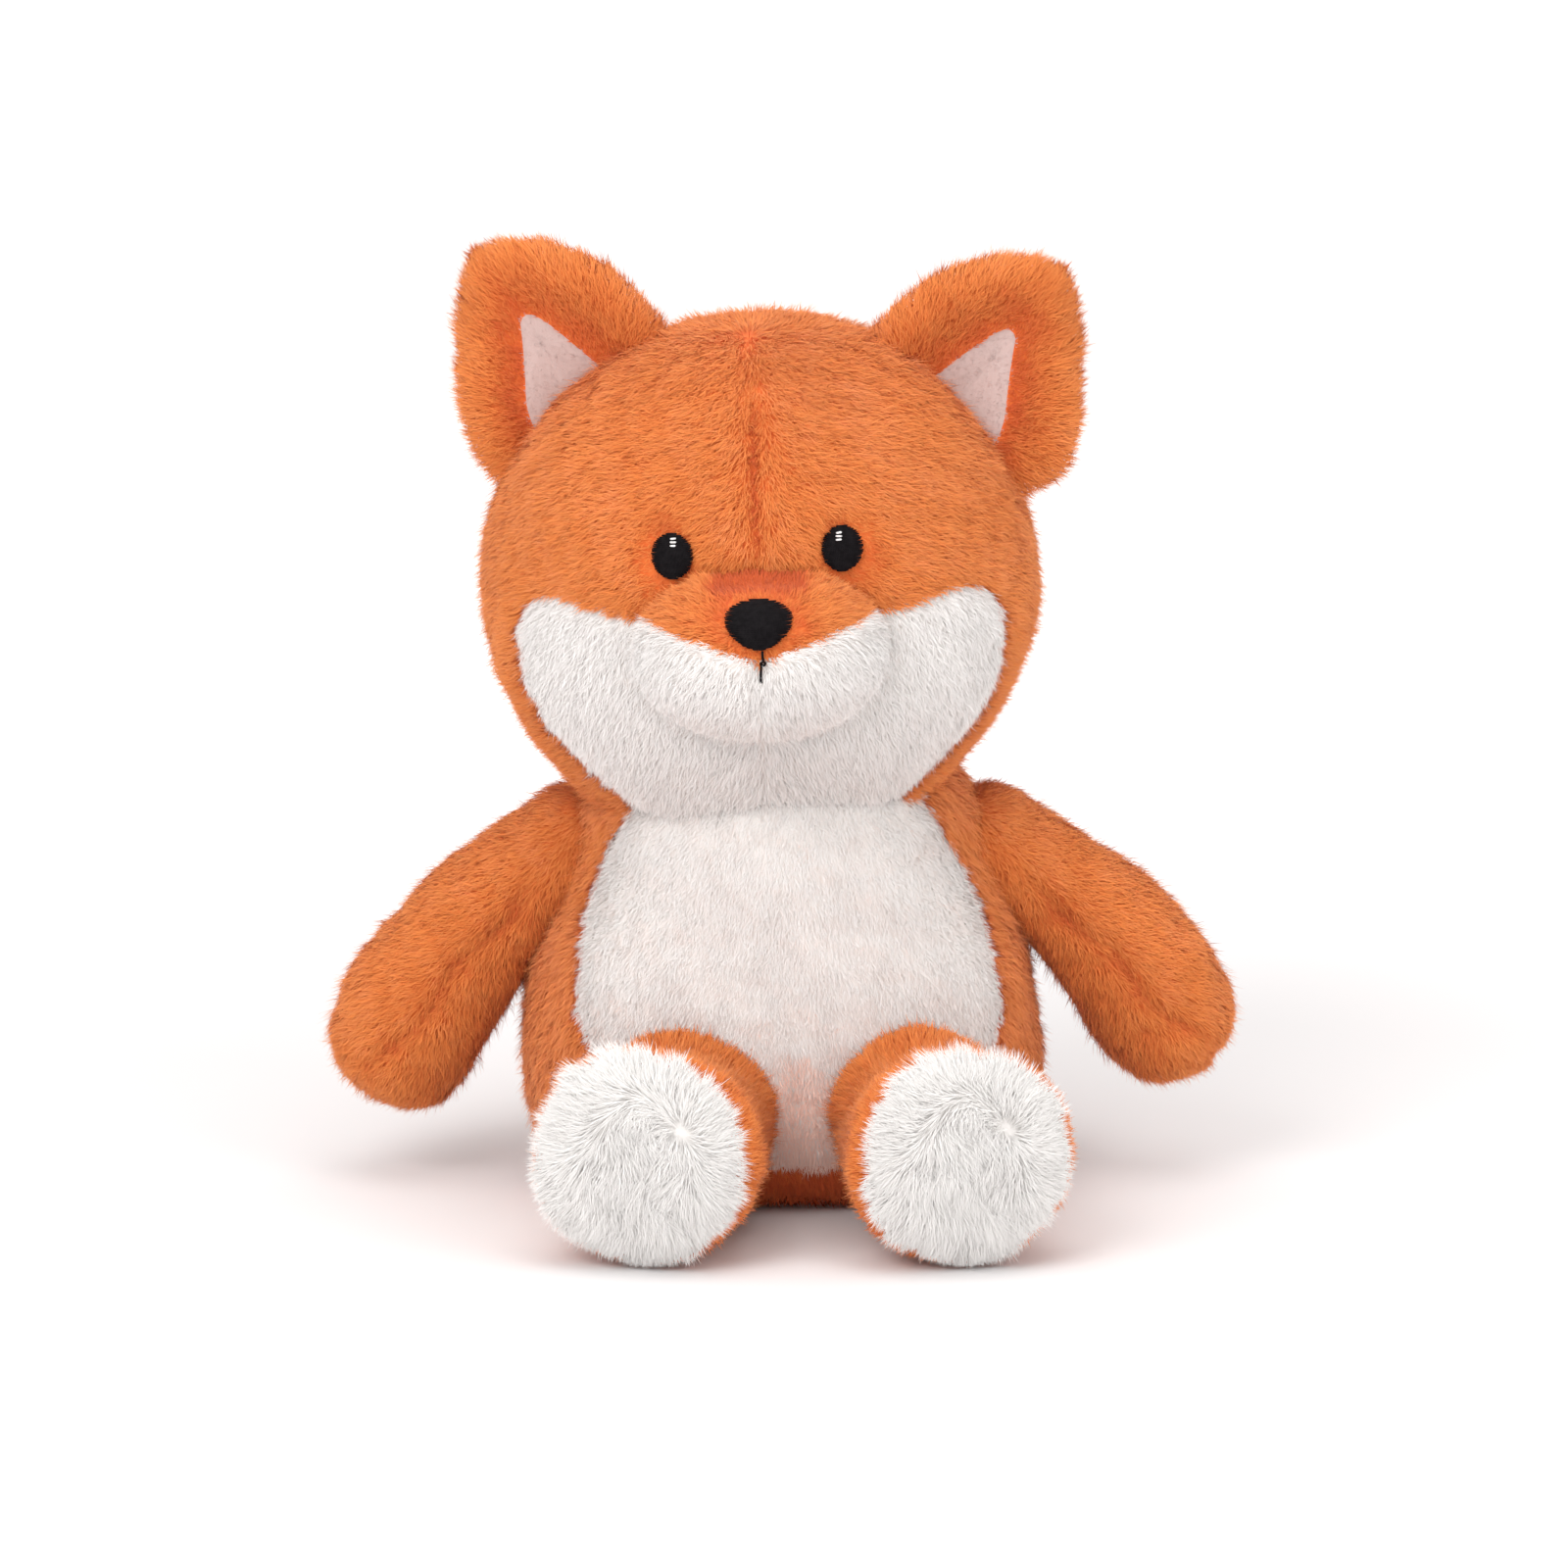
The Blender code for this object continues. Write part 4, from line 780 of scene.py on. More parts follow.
class SewBody(bpy.types.Operator):
    """Sew the white belly, the orange sides and the seat of the body"""
    bl_idname = "plush_fox.sew_body"
    bl_label = "Body panels"

    def execute(self, context):
        pile, _, shape, _ = settings()
        rng = np.random.default_rng(pile.seed)
        cloth = body_cloth(shape)
        belly = belly_line()
        middles = cloth.cell_middles()
        cells = body_panel(middles, belly)
        cloth.snap(cells, 0, (1, 2, 3), closed(belly))
        in_head = head_depth(middles - np.array(HEAD_PLACE.translation))
        wanted = np.where(in_head > 0.013, 0.0, 1.0)      # no pile where the head hides it
        wanted[middles[:, 2] < 0.0025] = 0.2              # and little where the fox sits on it
        wanted = wanted * np.where(cells == 0, 1.25, 0.95)
        points, normals = cloth.roots(rng, pile.density, wanted)
        for limb, turn, socket_r in (("arm", "lift", 0.0120), ("leg", "swing", 0.0185)):
            for side, _ in SIDES:      # and none in the sockets of the limbs
                at = np.array(joint_point(f"{limb}_{side}_{turn}"))
                keep = np.linalg.norm(points - at, axis=1) > socket_r
                points, normals = points[keep], normals[keep]
        labels = body_panel(points, belly, 0.0007)
        x, y, z = points.T
        white = labels == 0
        comb = directions(0.25 * np.sign(x) * ~white, 0.15, -1.0)
        comb[white, 0] = 0.10 * np.sin(x[white] * 90)
        under = z < 0.004
        comb[under] = directions(x, y, 0.0)[under]
        edge = line_distance(x, z, closed(belly))
        near_edge = bell(edge, 0.0035) * (y < 0)
        long = np.where(white, pile.belly_length, pile.orange_length) * (1 + 0.12 * waves(points, 0.012, 3))
        long = np.where(white & (edge < 0.004) & (y < 0), long * 1.2, long)
        lean = np.where(white, 62.0, 65.0) - 20 * near_edge + 8 * waves(points, 0.006, 4)
        # Painted shade: the orange goes dark near the floor, under the body where it sits.
        painted_seat_shade = smooth_step(0.017, 0.011, z)
        tone = 0.80 + 0.06 * waves(points, 0.03, 6) - 0.78 * painted_seat_shade * ~white
        # Painted bounce light from the orange legs and painted shade on the white belly: pinker low down between
        # the legs, along the dart and in a spot low on the belly.
        low = smooth_step(0.064, 0.016, z)
        dart = bell(x - aside(BELLY_ASIDE, z), 0.0030) * smooth_step(0.045, 0.020, z)
        painted_bounce_and_shade = 0.45 * low + 0.16 * dart + 0.12 * bell(np.hypot((x - 0.006) / 0.026, (z - 0.030) / 0.013), 1.0)
        ripple = waves(points * (0.4, 0.4, 1.0), 0.006, 9)
        # The orange is a little darker along the belly's seam: painted shade in its groove.
        tone = np.where(white, 0.52 + 0.03 * waves(points, 0.02, 8) + 0.06 * ripple - painted_bounce_and_shade,
                        tone - 0.06 * near_edge)
        locks = grow(rng, pile, points, normals, comb, long, lean, tone, np.where(white, 0.25, 0.36),
                     np.where(white, FINE_WIDTH, 1.0))
        sew_panels("torso", 0.85, cloth, cells, locks, labels,
                   ("belly_panel", "white_plush", "body_stuffing"), ("body_panel_left", "orange_plush"),
                   ("body_panel_right", "orange_plush"), ("seat_panel", "orange_plush"))
        return {"FINISHED"}


class SewHead(bpy.types.Operator):
    """Sew the forehead, the cheeks and the back of the head"""
    bl_idname = "plush_fox.sew_head"
    bl_label = "Head panels"

    def execute(self, context):
        pile, _, shape, _ = settings()
        rng = np.random.default_rng(pile.seed + 1)
        cloth = head_cloth(shape)
        middles = cloth.cell_middles()
        cells = head_panel(middles)
        cloth.snap(cells, (2, 3), (0, 1, 4, 5), CHEEK_LINE, mirrored=True)
        sunk = DOME_R - np.linalg.norm(carried(middles, HEAD_PLACE) - NECK, axis=1)      # in the body's dome
        in_muzzle = 1 - np.linalg.norm((middles - MUZZLE_AT) / MUZZLE_HALF, axis=1)
        wanted = np.where((sunk > 0.002) | (in_muzzle > 0.12), 0.0, 1.0)
        wanted = wanted * np.where(np.isin(cells, (2, 3)), 1.3, 1.0)
        points, normals = cloth.roots(rng, pile.density, wanted)
        local = cloth.to_local(points)
        x, y, z = local.T
        eye_edge = np.full(len(x), 9.0)      # 1 at the edge of the nearer eye, under which no pile grows
        for ex, ez in EYES.values():
            off = np.hypot((x - ex) / EYE_HALF[0], (z - ez) / EYE_HALF[1])
            eye_edge = np.minimum(eye_edge, np.where(y < 0, off, 9.0))
        points, normals, local, eye_edge = (a[eye_edge >= 0.93] for a in (points, normals, local, eye_edge))
        x, y, z = local.T
        labels = head_panel(local, 0.0006)
        white = np.isin(labels, (2, 3))
        in_front = y < HEAD_SEAM_Y
        back = y > HEAD_SEAM_Y
        side = np.sign(x)
        across = np.minimum(np.abs(x) / 0.035, 1.0)
        crown = smooth_step(0.062, 0.070, z + 0.15 * y)
        topmost = smooth_step(0.040, 0.058, z)
        comb = directions(side * (0.42 * np.tanh(np.abs(x) / 0.004) + 0.70 * across),
                          0.22 - 0.30 * topmost + 0.90 * crown, -0.78 + 0.36 * across + 0.62 * crown)
        comb[back] = directions(0.45 * side, 0.15 + 0.6 * crown, -0.9)[back]
        comb[:, 0] += 0.3 * bell(x, 0.003) * waves(local, 0.004, 19)
        comb[white] = directions(0.38 * side, 0.12, -1.0)[white]
        rim = bell(line_distance(np.abs(x), z, CHEEK_LINE), 0.0035) * in_front
        outward = directions(side * 0.7, 0.0, 0.7 * np.sign(z + 0.02))
        comb = np.where((white & (rim > 0.35) & (z > -0.012))[:, None], comb * 0.75 + outward * 0.25, comb)
        comb = cloth.to_world(comb)
        long = np.where(white, pile.white_length, pile.orange_length) * (1 + 0.12 * waves(local, 0.014, 13))
        around_eye = smooth_step(2.3, 1.0, eye_edge)
        by_muzzle = bell(muzzle_gap(local) - 0.0004, 0.0032) * (y < 0)
        long *= 1 - 0.62 * around_eye
        long *= 1 - 0.25 * rim * white
        long *= 1 - 0.35 * bell(x, 0.0022) * (z > 0) * (z < 0.058) * in_front
        long *= 1 - 0.45 * by_muzzle
        lean = 64.0 - np.where(white, 10, 24) * rim + 6 * waves(local, 0.006, 14)
        lean = lean - 12 * bell(x, 0.0022) * ~white * smooth_step(0.060, 0.045, z)
        lean = lean + np.where(white | back, 0.0, 11.0) * topmost
        parting = bell(x, 0.0010) * in_front * smooth_step(0.010, 0.022, z) * smooth_step(0.058, 0.040, z)
        tone = 0.63 + 0.06 * waves(local, 0.035, 16) + 0.04 * waves(local, 0.010, 17)
        # Painted shade: a dark line down the parting, darker at the crown, in the crease round the muzzle and in
        # the hollows round the eyes. The orange is also a little darker lower down the head.
        tone -= (0.66 * parting + 0.08 * crown * in_front + 0.14 * by_muzzle + 0.26 * around_eye
                 + 0.05 * smooth_step(0.01, -0.04, z) * ~white)
        # Painted shade on the white cheeks: darker below the muzzle, towards the chin, and in the muzzle's crease.
        tone = np.where(white, 0.74 + 0.05 * waves(local, 0.02, 18) - 0.18 * smooth_step(-0.02, -0.055, z)
                        - 0.12 * by_muzzle * (z < MUZZLE_AT[2]), tone)
        locks = grow(rng, pile, points, normals, comb, long, lean, tone, np.where(white, 0.25, 0.38),
                     np.where(white, FINE_WIDTH, 1.0))
        sew_panels("head", 0.9, cloth, np.where(sunk < 0.006, cells, -1), locks, labels,
                   ("forehead_left", "orange_plush", "head_stuffing"), ("forehead_right", "orange_plush"),
                   ("cheek_left", "white_plush"), ("cheek_right", "white_plush"),
                   ("head_back_left", "orange_plush"), ("head_back_right", "orange_plush"))
        return {"FINISHED"}


class SewMuzzle(bpy.types.Operator):
    """Sew the orange top and the white bottom of the muzzle"""
    bl_idname = "plush_fox.sew_muzzle"
    bl_label = "Muzzle panels"

    def execute(self, context):
        pile, _, shape, _ = settings()
        rng = np.random.default_rng(pile.seed + 2)
        cloth = muzzle_cloth(shape)
        middles = cloth.cell_middles()
        cells = muzzle_panel(middles)
        cloth.snap(cells, 0, 1, [(x, float(muzzle_seam_z(x))) for x in (-0.0387, 0.0, 0.0387)])
        in_head = head_depth(middles)
        points, normals = cloth.roots(rng, pile.density * 1.2, np.where(in_head > 0.004, 0.0, 1.0))
        local = cloth.to_local(points)
        x, y, z = local.T
        nose_off = np.hypot((x - NOSE_AT[0]) / NOSE_HALF[0], (z - NOSE_AT[1]) / NOSE_HALF[1])      # 1 at its edge
        keep = (nose_off > 0.9) | (y > MUZZLE_AT[1])
        points, normals, local, nose_off = (a[keep] for a in (points, normals, local, nose_off))
        x, y, z = local.T
        labels = muzzle_panel(local, 0.0005)
        white = labels == 1
        comb = directions(x - NOSE_AT[0], 0.010, (z - NOSE_AT[1] - 0.002) * 1.1)
        comb[white] = directions(0.30 * np.sign(x) + 8 * x, 0.15, -0.9)[white]
        seam = bell(z - muzzle_seam_z(x), 0.0028)
        up = directions(0.35 * np.sign(x), 0.0, 0.6)
        comb = np.where((white & (seam > 0.6))[:, None], 0.5 * comb + 0.5 * up, comb)
        comb = cloth.to_world(unit(comb))
        near_nose = smooth_step(1.7, 1.0, nose_off)
        at_head = smooth_step(-0.0045, -0.0005, head_depth(local))
        furrow = furrow_share(x, z, 0.0100, 0.0020)
        long = np.where(white, pile.white_length, 0.92 * pile.orange_length) * (1 - 0.55 * near_nose)
        long *= 1 - 0.5 * furrow
        long *= 1 - 0.35 * at_head
        lean = 62.0 - 22 * seam + 6 * waves(local, 0.005, 24)
        lean = lean - 22 * furrow
        # Painted shade: darker in the short fur round the nose, and deep in the furrow that arches over it.
        tone = 0.60 + 0.06 * waves(local, 0.015, 26) - 0.22 * near_nose - 0.85 * furrow - 0.06
        # Painted shade on the white: darker on the muzzle's underside and where it meets the head.
        tone = np.where(white, 0.72 + 0.05 * waves(local, 0.012, 27) - 0.10 * smooth_step(-0.012, -0.026, z)
                        - 0.20 * at_head, tone)
        locks = grow(rng, pile, points, normals, comb, long, lean, tone, np.where(white, 0.25, 0.38),
                     np.where(white, FINE_WIDTH, 1.0))
        sew_panels("head", 0.9, cloth, np.where(in_head < 0.006, cells, -1), locks, labels,
                   ("muzzle_top", "orange_plush", "muzzle_stuffing"), ("muzzle_bottom", "white_plush"))
        return {"FINISHED"}


EAR_HALF_W, EAR_H, EAR_RIM_H, EAR_CHORD_Z = 0.0275, 0.052, 0.0464, -0.0044
EAR_HALF_THICK = 0.0066
EAR_ROUND, EAR_OVER = 0.165, 0.062      # the cloth's length round the rim, and over the ear from front to back
EAR_RIM = [(x * EAR_HALF_W, EAR_CHORD_Z + z * EAR_RIM_H) for x, z in (
    (-1.0, 0.0), (-1.03, 0.21), (-0.99, 0.45), (-0.79, 0.73), (-0.38, 0.97), (-0.06, 0.93), (0.28, 0.73),
    (0.60, 0.52), (0.86, 0.28), (1.0, 0.0), (0.8, -0.21), (0.0, -0.21), (-0.8, -0.21))]
EAR_PATCH = rounded([(x * EAR_HALF_W, EAR_CHORD_Z + z * EAR_H) for x, z in (
    (-0.40, -0.20), (-0.38, 0.12), (-0.26, 0.60), (0.12, 0.34), (0.50, 0.12), (0.52, -0.20))], 2)


def ear_cup(x):
    """How far the ear's sides curl forwards."""
    return 0.0070 * (x / EAR_HALF_W) ** 2


def ear_front(p):
    return p[:, 1] < -0.0010 - ear_cup(p[:, 0])


def ear_panel(p):
    return np.where(inside_outline(p[:, 0], p[:, 2], EAR_PATCH) & ear_front(p), 1, 0)


def ear_place(joint, side):
    """The ear's own frame: X outwards along its seam, Y back and Z up the ear."""
    chord = Vector(joint["axis"]).normalized()
    back = Vector((0, 1, 0))
    up = chord.cross(back)
    place = Matrix.Identity(4)
    for column, direction in enumerate((-chord if side < 0 else chord, back, -up if up.z < 0 else up)):
        place.col[column][:3] = direction
    place.translation = Vector(joint["pos_m"])
    return place


def ear_rim(side):
    """The ear's outline. The outer edge of the right ear bulges more."""
    bulge, tuck = (0.05, 0.0) if side < 0 else (0.20, 0.05)
    swell = [1 - tuck + (bulge + tuck) * float(smooth_step(-0.005, 0.010, z)) for _, z in EAR_RIM]
    return np.array(closed(rounded([(x * wide if x > 0 else x, z) for (x, z), wide in zip(EAR_RIM, swell)], 3)))


def ear_cloth(shape, place, rim):
    """The padded ear, its hollow lining and its rolled rim."""
    cell = 0.8 * shape.cell
    walk = np.concatenate(([0], np.cumsum(np.linalg.norm(np.diff(rim, axis=0), axis=1))))
    at = np.linspace(0, walk[-1], int(EAR_ROUND / cell), endpoint=False)
    mid_x, mid_z = -0.12 * EAR_HALF_W, EAR_CHORD_Z + 0.36 * EAR_H
    turn = np.linspace(0, math.pi, int(EAR_OVER / cell))[:, None]
    out = np.sin(turn) ** 0.72
    thick = np.cos(turn)
    x = mid_x + (np.interp(at, walk, rim[:, 0]) - mid_x) * out
    z = mid_z + (np.interp(at, walk, rim[:, 1]) - mid_z) * out
    in_patch = inside_outline(x, z, EAR_PATCH) & (thick > 0)
    hollow = smooth_step(0.0, 0.010, np.where(in_patch, line_distance(x, z, closed(EAR_PATCH)), 0.0))
    roll = bell(line_distance(x, z, rim) - 0.006, 0.005)
    y = -thick * EAR_HALF_THICK - ear_cup(x) + (0.0022 * hollow - 0.0016 * roll * smooth_step(0.0, 0.4, thick))
    return Cloth(np.stack((x, y, z), 2), place)


class SewEars(bpy.types.Operator):
    """Sew the padded ears and their short-piled linings"""
    bl_idname = "plush_fox.sew_ears"
    bl_label = "Ears"

    def execute(self, context):
        pile, _, shape, _ = settings()
        for number, (side_name, side) in enumerate(SIDES):
            rng = np.random.default_rng(pile.seed + 3 + number)
            place = ear_place(JOINTS[f"ear_{side_name}_fold"], side)
            rim = ear_rim(side)
            cloth = ear_cloth(shape, place, rim)
            middles = cloth.cell_middles()
            in_head = head_depth(np.array([HEAD_PLACE.inverted() @ Vector(p) for p in carried(middles, place)]))
            cells = ear_panel(middles)
            cloth.snap(cells, 0, 1, closed(EAR_PATCH))
            wanted = np.where(in_head > 0.005, 0.0, np.where(cells == 1, 1.6, 1.12))
            points, normals = cloth.roots(rng, pile.density, wanted)
            local = cloth.to_local(points)
            x, y, z = local.T
            labels = ear_panel(local)
            lining = labels == 1
            comb = unit(directions(x + 0.003, 0.0, np.maximum(z + 0.012, 0.004)))
            comb[:, 1] += np.where(y < -0.003 - ear_cup(x), -0.15, 0.15)
            comb = cloth.to_world(comb)
            front = ear_front(local)
            beside = bell(line_distance(x, z, closed(EAR_PATCH)), 0.006) * front * ~lining
            rim_gap = line_distance(x, z, rim)
            long = np.where(lining, pile.lining_length,
                            pile.orange_length * (1 + 0.15 * waves(local, 0.010, 35)))
            long *= 1 - 0.45 * beside + 0.25 * bell(rim_gap, 0.006) * ~lining
            lean = np.where(lining, 70.0, 53.0 + 7 * waves(local, 0.006, 36))
            # Painted shade beside the hollow of the lining, and painted light along the rim, where light shines
            # through the fringe. The front is also a little darker.
            tone = (0.54 + 0.05 * waves(local, 0.02, 37) - 0.32 * beside - 0.06 * front
                    + 0.16 * bell(rim_gap, 0.005))
            tone = np.where(lining, 0.55 + 0.10 * waves(local, 0.008, 38), tone)
            locks = grow(rng, pile, points, normals, comb, long, lean, tone, 0.35, np.where(lining, 0.8, 1.0))
            sew_panels(f"ear_{side_name}", 0.6, cloth, np.where(in_head < 0.007, cells, -1), locks, labels,
                       (f"ear_{side_name}", "orange_plush"), (f"ear_inner_{side_name}", "ear_lining"))
        return {"FINISHED"}


ARM_SEAM_Z = 0.0016


def arm_creases(grid, shape):
    """The seam along the arm's front and back, with small V creases off it."""
    x, y, z = np.moveaxis(grid, 2, 0)
    along = np.abs(x)
    wander = 0.0012 * np.sin(along * 190)
    seam = bell(z - 0.002 - wander, 0.8 * shape.seam_width) * smooth_step(0.006, 0.020, along)
    seam *= smooth_step(0.086, 0.072, along)
    pull = 1.15 * seam
    for at in (0.027, 0.043, 0.057, 0.069):
        off = (along - at) + 1.1 * np.abs(z - 0.002)
        pull = pull + 0.45 * bell(off, 0.0022) * bell(z - 0.002, 0.0085) * (y < 0)
    return pull


class SewArms(bpy.types.Operator):
    """Sew both arms, each of an upper and a lower panel"""
    bl_idname = "plush_fox.sew_arms"
    bl_label = "Arms"

    def execute(self, context):
        pile, _, shape, _ = settings()
        for number, ((side_name, side), (down, size)) in enumerate(zip(SIDES, ((49.5, 1.02), (44.5, 0.965)))):
            rng = np.random.default_rng(pile.seed + 5 + number)
            arm = f"arm_{side_name}"
            place = (Matrix.Translation(joint_point(f"{arm}_lift"))
                     @ Matrix.Rotation(side * math.radians(down), 4, "Y"))
            run = [(x * size, r * size, bent) for x, r, bent in (
                (0.0150, 0.0146, 0.6), (0.0300, 0.0160, 1.0), (0.0490, 0.0178, 0.7), (0.0620, 0.0187, 0.4),
                (0.0695, 0.0178, 0.15))]
            cloth = limb_cloth(shape, place, root_r=0.0135, run=run, round_from=run[-1][:2], tip=0.0850 * size,
                               bow=0.005, side=side, creases=arm_creases)
            middles = cloth.cell_middles()
            points, normals = cloth.roots(rng, pile.density, np.full(len(middles), 1.05))
            local = cloth.to_local(points)
            x, _, z = local.T
            labels = np.where(z > ARM_SEAM_Z, 0, 1)
            hand = smooth_step(0.056, 0.085, side * x)
            fan = 0.55 * np.tanh((z - ARM_SEAM_Z) / 0.006)
            comb = cloth.to_world(directions(side, 0.0, fan * (1 - 0.6 * hand)))
            crease = np.minimum(arm_creases(local[:, None, :], shape)[:, 0], 1.2)
            long = pile.orange_length * (1 + 0.12 * waves(local, 0.012, 45)) * (1 - 0.2 * crease)
            lean = 66.0 + 6 * waves(local, 0.006, 46) - 12 * crease
            # Painted shade in the creases and on the lower panel, the arm's underside.
            tone = 0.62 + 0.06 * waves(local, 0.02, 47) - 0.26 * crease - 0.10 * (labels == 1)
            locks = grow(rng, pile, points, normals, comb, long, lean, tone, 0.34)
            sew_panels(arm, 0.85, cloth, np.where(middles[:, 2] > ARM_SEAM_Z, 0, 1), locks, labels,
                       (f"{arm}_upper_panel", "orange_plush", f"{arm}_stuffing"),
                       (f"{arm}_lower_panel", "orange_plush"))
        return {"FINISHED"}


SOLE_SEAM_X = 0.0560
SOLE_HALF_W = 0.027


def past_sole_seam(p, side, ragged=0.0):
    """How far a point is past the seam of the sole, which sits low and towards the outside."""
    x, y, _ = p.T
    shift = ragged * waves(p, 0.004, 55)
    return (x + shift - SOLE_SEAM_X - 0.0014 - 0.0021 * (y / SOLE_HALF_W) ** 2
            + 0.0010 * side * y / SOLE_HALF_W)


class SewLegs(bpy.types.Operator):
    """Sew both legs and their long-piled soles"""
    bl_idname = "plush_fox.sew_legs"
    bl_label = "Legs and soles"

    def execute(self, context):
        pile, _, shape, _ = settings()
        for number, (side_name, side) in enumerate(SIDES):
            rng = np.random.default_rng(pile.seed + 7 + number)
            place = (Matrix.Translation(joint_point(f"leg_{side_name}_swing"))
                     @ Matrix.Rotation(-math.pi / 2 + side * math.radians(9.5), 4, "Z"))
            run = ((0.0100, 0.0203, 1.0), (0.0258, 0.0209, 0.9), (0.0400, 0.0224, 0.5), (0.0510, 0.0258, 0.0))
            cloth = limb_cloth(shape, place, root_r=0.0200, run=run, round_from=(0.0535, 0.0264), tip=0.0645,
                               bow=-0.0040, depth=1.07, on_floor=True)
            middles = cloth.cell_middles()
            cells = np.where(past_sole_seam(middles, side) > 0, 1, 0)
            wanted = np.where(cells == 1, 1.9, 1.0) * (body_depth(carried(middles, place)) < 0.013)
            points, normals = cloth.roots(rng, pile.density, wanted)
            local = cloth.to_local(points)
            x, y, z = local.T
            labels = np.where(past_sole_seam(local, side, 0.0007) > 0, 1, 0)
            sole = labels == 1
            radial = np.hypot(y, z) + 1e-9
            out = directions(0.0, y / radial, z / radial)
            swirl = directions(0.0, -z / radial, y / radial)
            drift = directions(0.0, waves(local, 0.016, 52), waves(local, 0.016, 54))
            at_rim = smooth_step(0.008, 0.022, radial)[:, None]
            comb = np.where(sole[:, None], 1.05 * out * at_rim + 0.10 * swirl + 0.38 * drift
                            + np.array([0.0, 0.0, -0.55]) * (1 - 0.6 * at_rim), np.array([-1.0, 0.0, 0.0]))
            comb = cloth.to_world(comb)
            long = np.where(sole, pile.sole_length, pile.orange_length) * (1 + 0.14 * waves(local, 0.010, 56))
            at_side = (0.20 if side < 0 else 0.38) * np.minimum(y / 0.025, 1.0) ** 2
            long = np.where(sole, long * (1 - 0.25 * smooth_step(0.013, 0.024, radial))
                            * (1 - 0.30 * smooth_step(-0.010, -0.022, z)) * (1 - at_side),
                            long * (1 - 0.30 * smooth_step(0.034, 0.052, x)))
            lean = np.where(sole, 60.0 - 8 * smooth_step(0.018, 0.026, radial), 70.0)
            lean = lean + 7 * waves(local, 0.007, 57)
            # Painted shade: the orange pile darker on the leg's underside, towards the floor.
            tone = np.where(sole, 0.66 + 0.06 * waves(local, 0.010, 58),
                            0.54 + 0.06 * waves(local, 0.02, 59) - 0.10 * smooth_step(0.010, -0.020, z))
            locks = grow(rng, pile, points, normals, comb, long, lean, tone, np.where(sole, 0.26, 0.36),
                         np.where(sole, 0.9, 1.0), clump=1.2, stray=np.where(sole, 0.34, 0.24))
            sew_panels(f"leg_{side_name}", 0.85, cloth, cells, locks, labels,
                       (f"leg_{side_name}_panel", "orange_plush", f"leg_{side_name}_stuffing"),
                       (f"sole_{side_name}_panel", "long_white_plush"))
        return {"FINISHED"}


TAIL_SEAM_X = 0.052


class SewTail(bpy.types.Operator):
    """Sew the tail and its white tip"""
    bl_idname = "plush_fox.sew_tail"
    bl_label = "Tail"

    def execute(self, context):
        pile, _, shape, _ = settings()
        rng = np.random.default_rng(pile.seed + 9)
        place = Matrix.Translation(joint_point("tail_lift")) @ Matrix.Rotation(math.pi / 2, 4, "Z")
        run = ((0.0100, 0.0112, 0), (0.0240, 0.0136, 0), (0.0440, 0.0166, 0), (0.0600, 0.0150, 0),
               (0.0720, 0.0100, 0))
        cloth = limb_cloth(shape, place, root_r=0.0095, run=run, round_from=run[-1][:2], tip=0.0824,
                           on_floor=True)
        along = cloth.cell_middles()[:, 0]
        points, normals = cloth.roots(rng, pile.density, np.where(along < -0.004, 0.0, 1.0))
        local = cloth.to_local(points)
        x = local[:, 0]
        labels = np.where(x + 0.0016 * waves(local, 0.006, 65) > TAIL_SEAM_X, 1, 0)
        comb = cloth.to_world(np.tile((1.0, 0.0, 0.0), (len(x), 1)))
        long = 1.25 * pile.orange_length * (1 + 0.15 * waves(local, 0.012, 66))
        long *= 1 - 0.45 * smooth_step(0.066, 0.080, x)
        lean = 72.0 + 6 * waves(local, 0.006, 67)
        tone = np.where(labels == 1, 0.70, 0.52) + 0.08 * waves(local, 0.02, 68)
        locks = grow(rng, pile, points, normals, comb, long, lean, tone, 0.5, clump=1.1)
        sew_panels("tail", 0.8, cloth, np.where(along > TAIL_SEAM_X, 1, 0), locks, labels,
                   ("tail_panel", "orange_plush", "tail_stuffing"), ("tail_tip_panel", "white_plush"))
        return {"FINISHED"}


# Stitched face

def face_y(x, z):
    """The front of the head or the muzzle at x, z in the head's own frame, whichever is further forward."""
    share = 1 - (x / HEAD_HALF[0]) ** 2 - (z / HEAD_HALF[2]) ** 2
    head = -HEAD_HALF[1] * np.sqrt(np.maximum(share, 0))
    share = 1 - (x / MUZZLE_HALF[0]) ** 2 - ((z - MUZZLE_AT[2]) / MUZZLE_HALF[2]) ** 2
    muzzle = np.where(share > 0, MUZZLE_AT[1] - MUZZLE_HALF[1] * np.sqrt(np.maximum(share, 0)), 0.0)
    return np.minimum(head, muzzle)


def one_stitch(name):
    """A short run of thread along X, modelled once, and cut across near both its ends where satin bends it down.
    """
    bpy.ops.object.select_all(action="DESELECT")
    bpy.ops.mesh.primitive_cylinder_add(vertices=8, radius=1.0, depth=2.0, end_fill_type="NGON")
    made = bpy.context.object
    made.name = name
    bpy.ops.object.mode_set(mode="EDIT")
    bpy.ops.mesh.select_all(action="SELECT")
    bpy.ops.transform.rotate(value=math.pi / 2, orient_axis="Y", center_override=(0, 0, 0))
    for at in (-0.9, -0.6, 0.0, 0.6, 0.9):
        bpy.ops.mesh.select_all(action="SELECT")
        bpy.ops.mesh.bisect(plane_co=(at, 0, 0), plane_no=(1, 0, 0))
    bpy.ops.object.mode_set(mode="OBJECT")
    return made


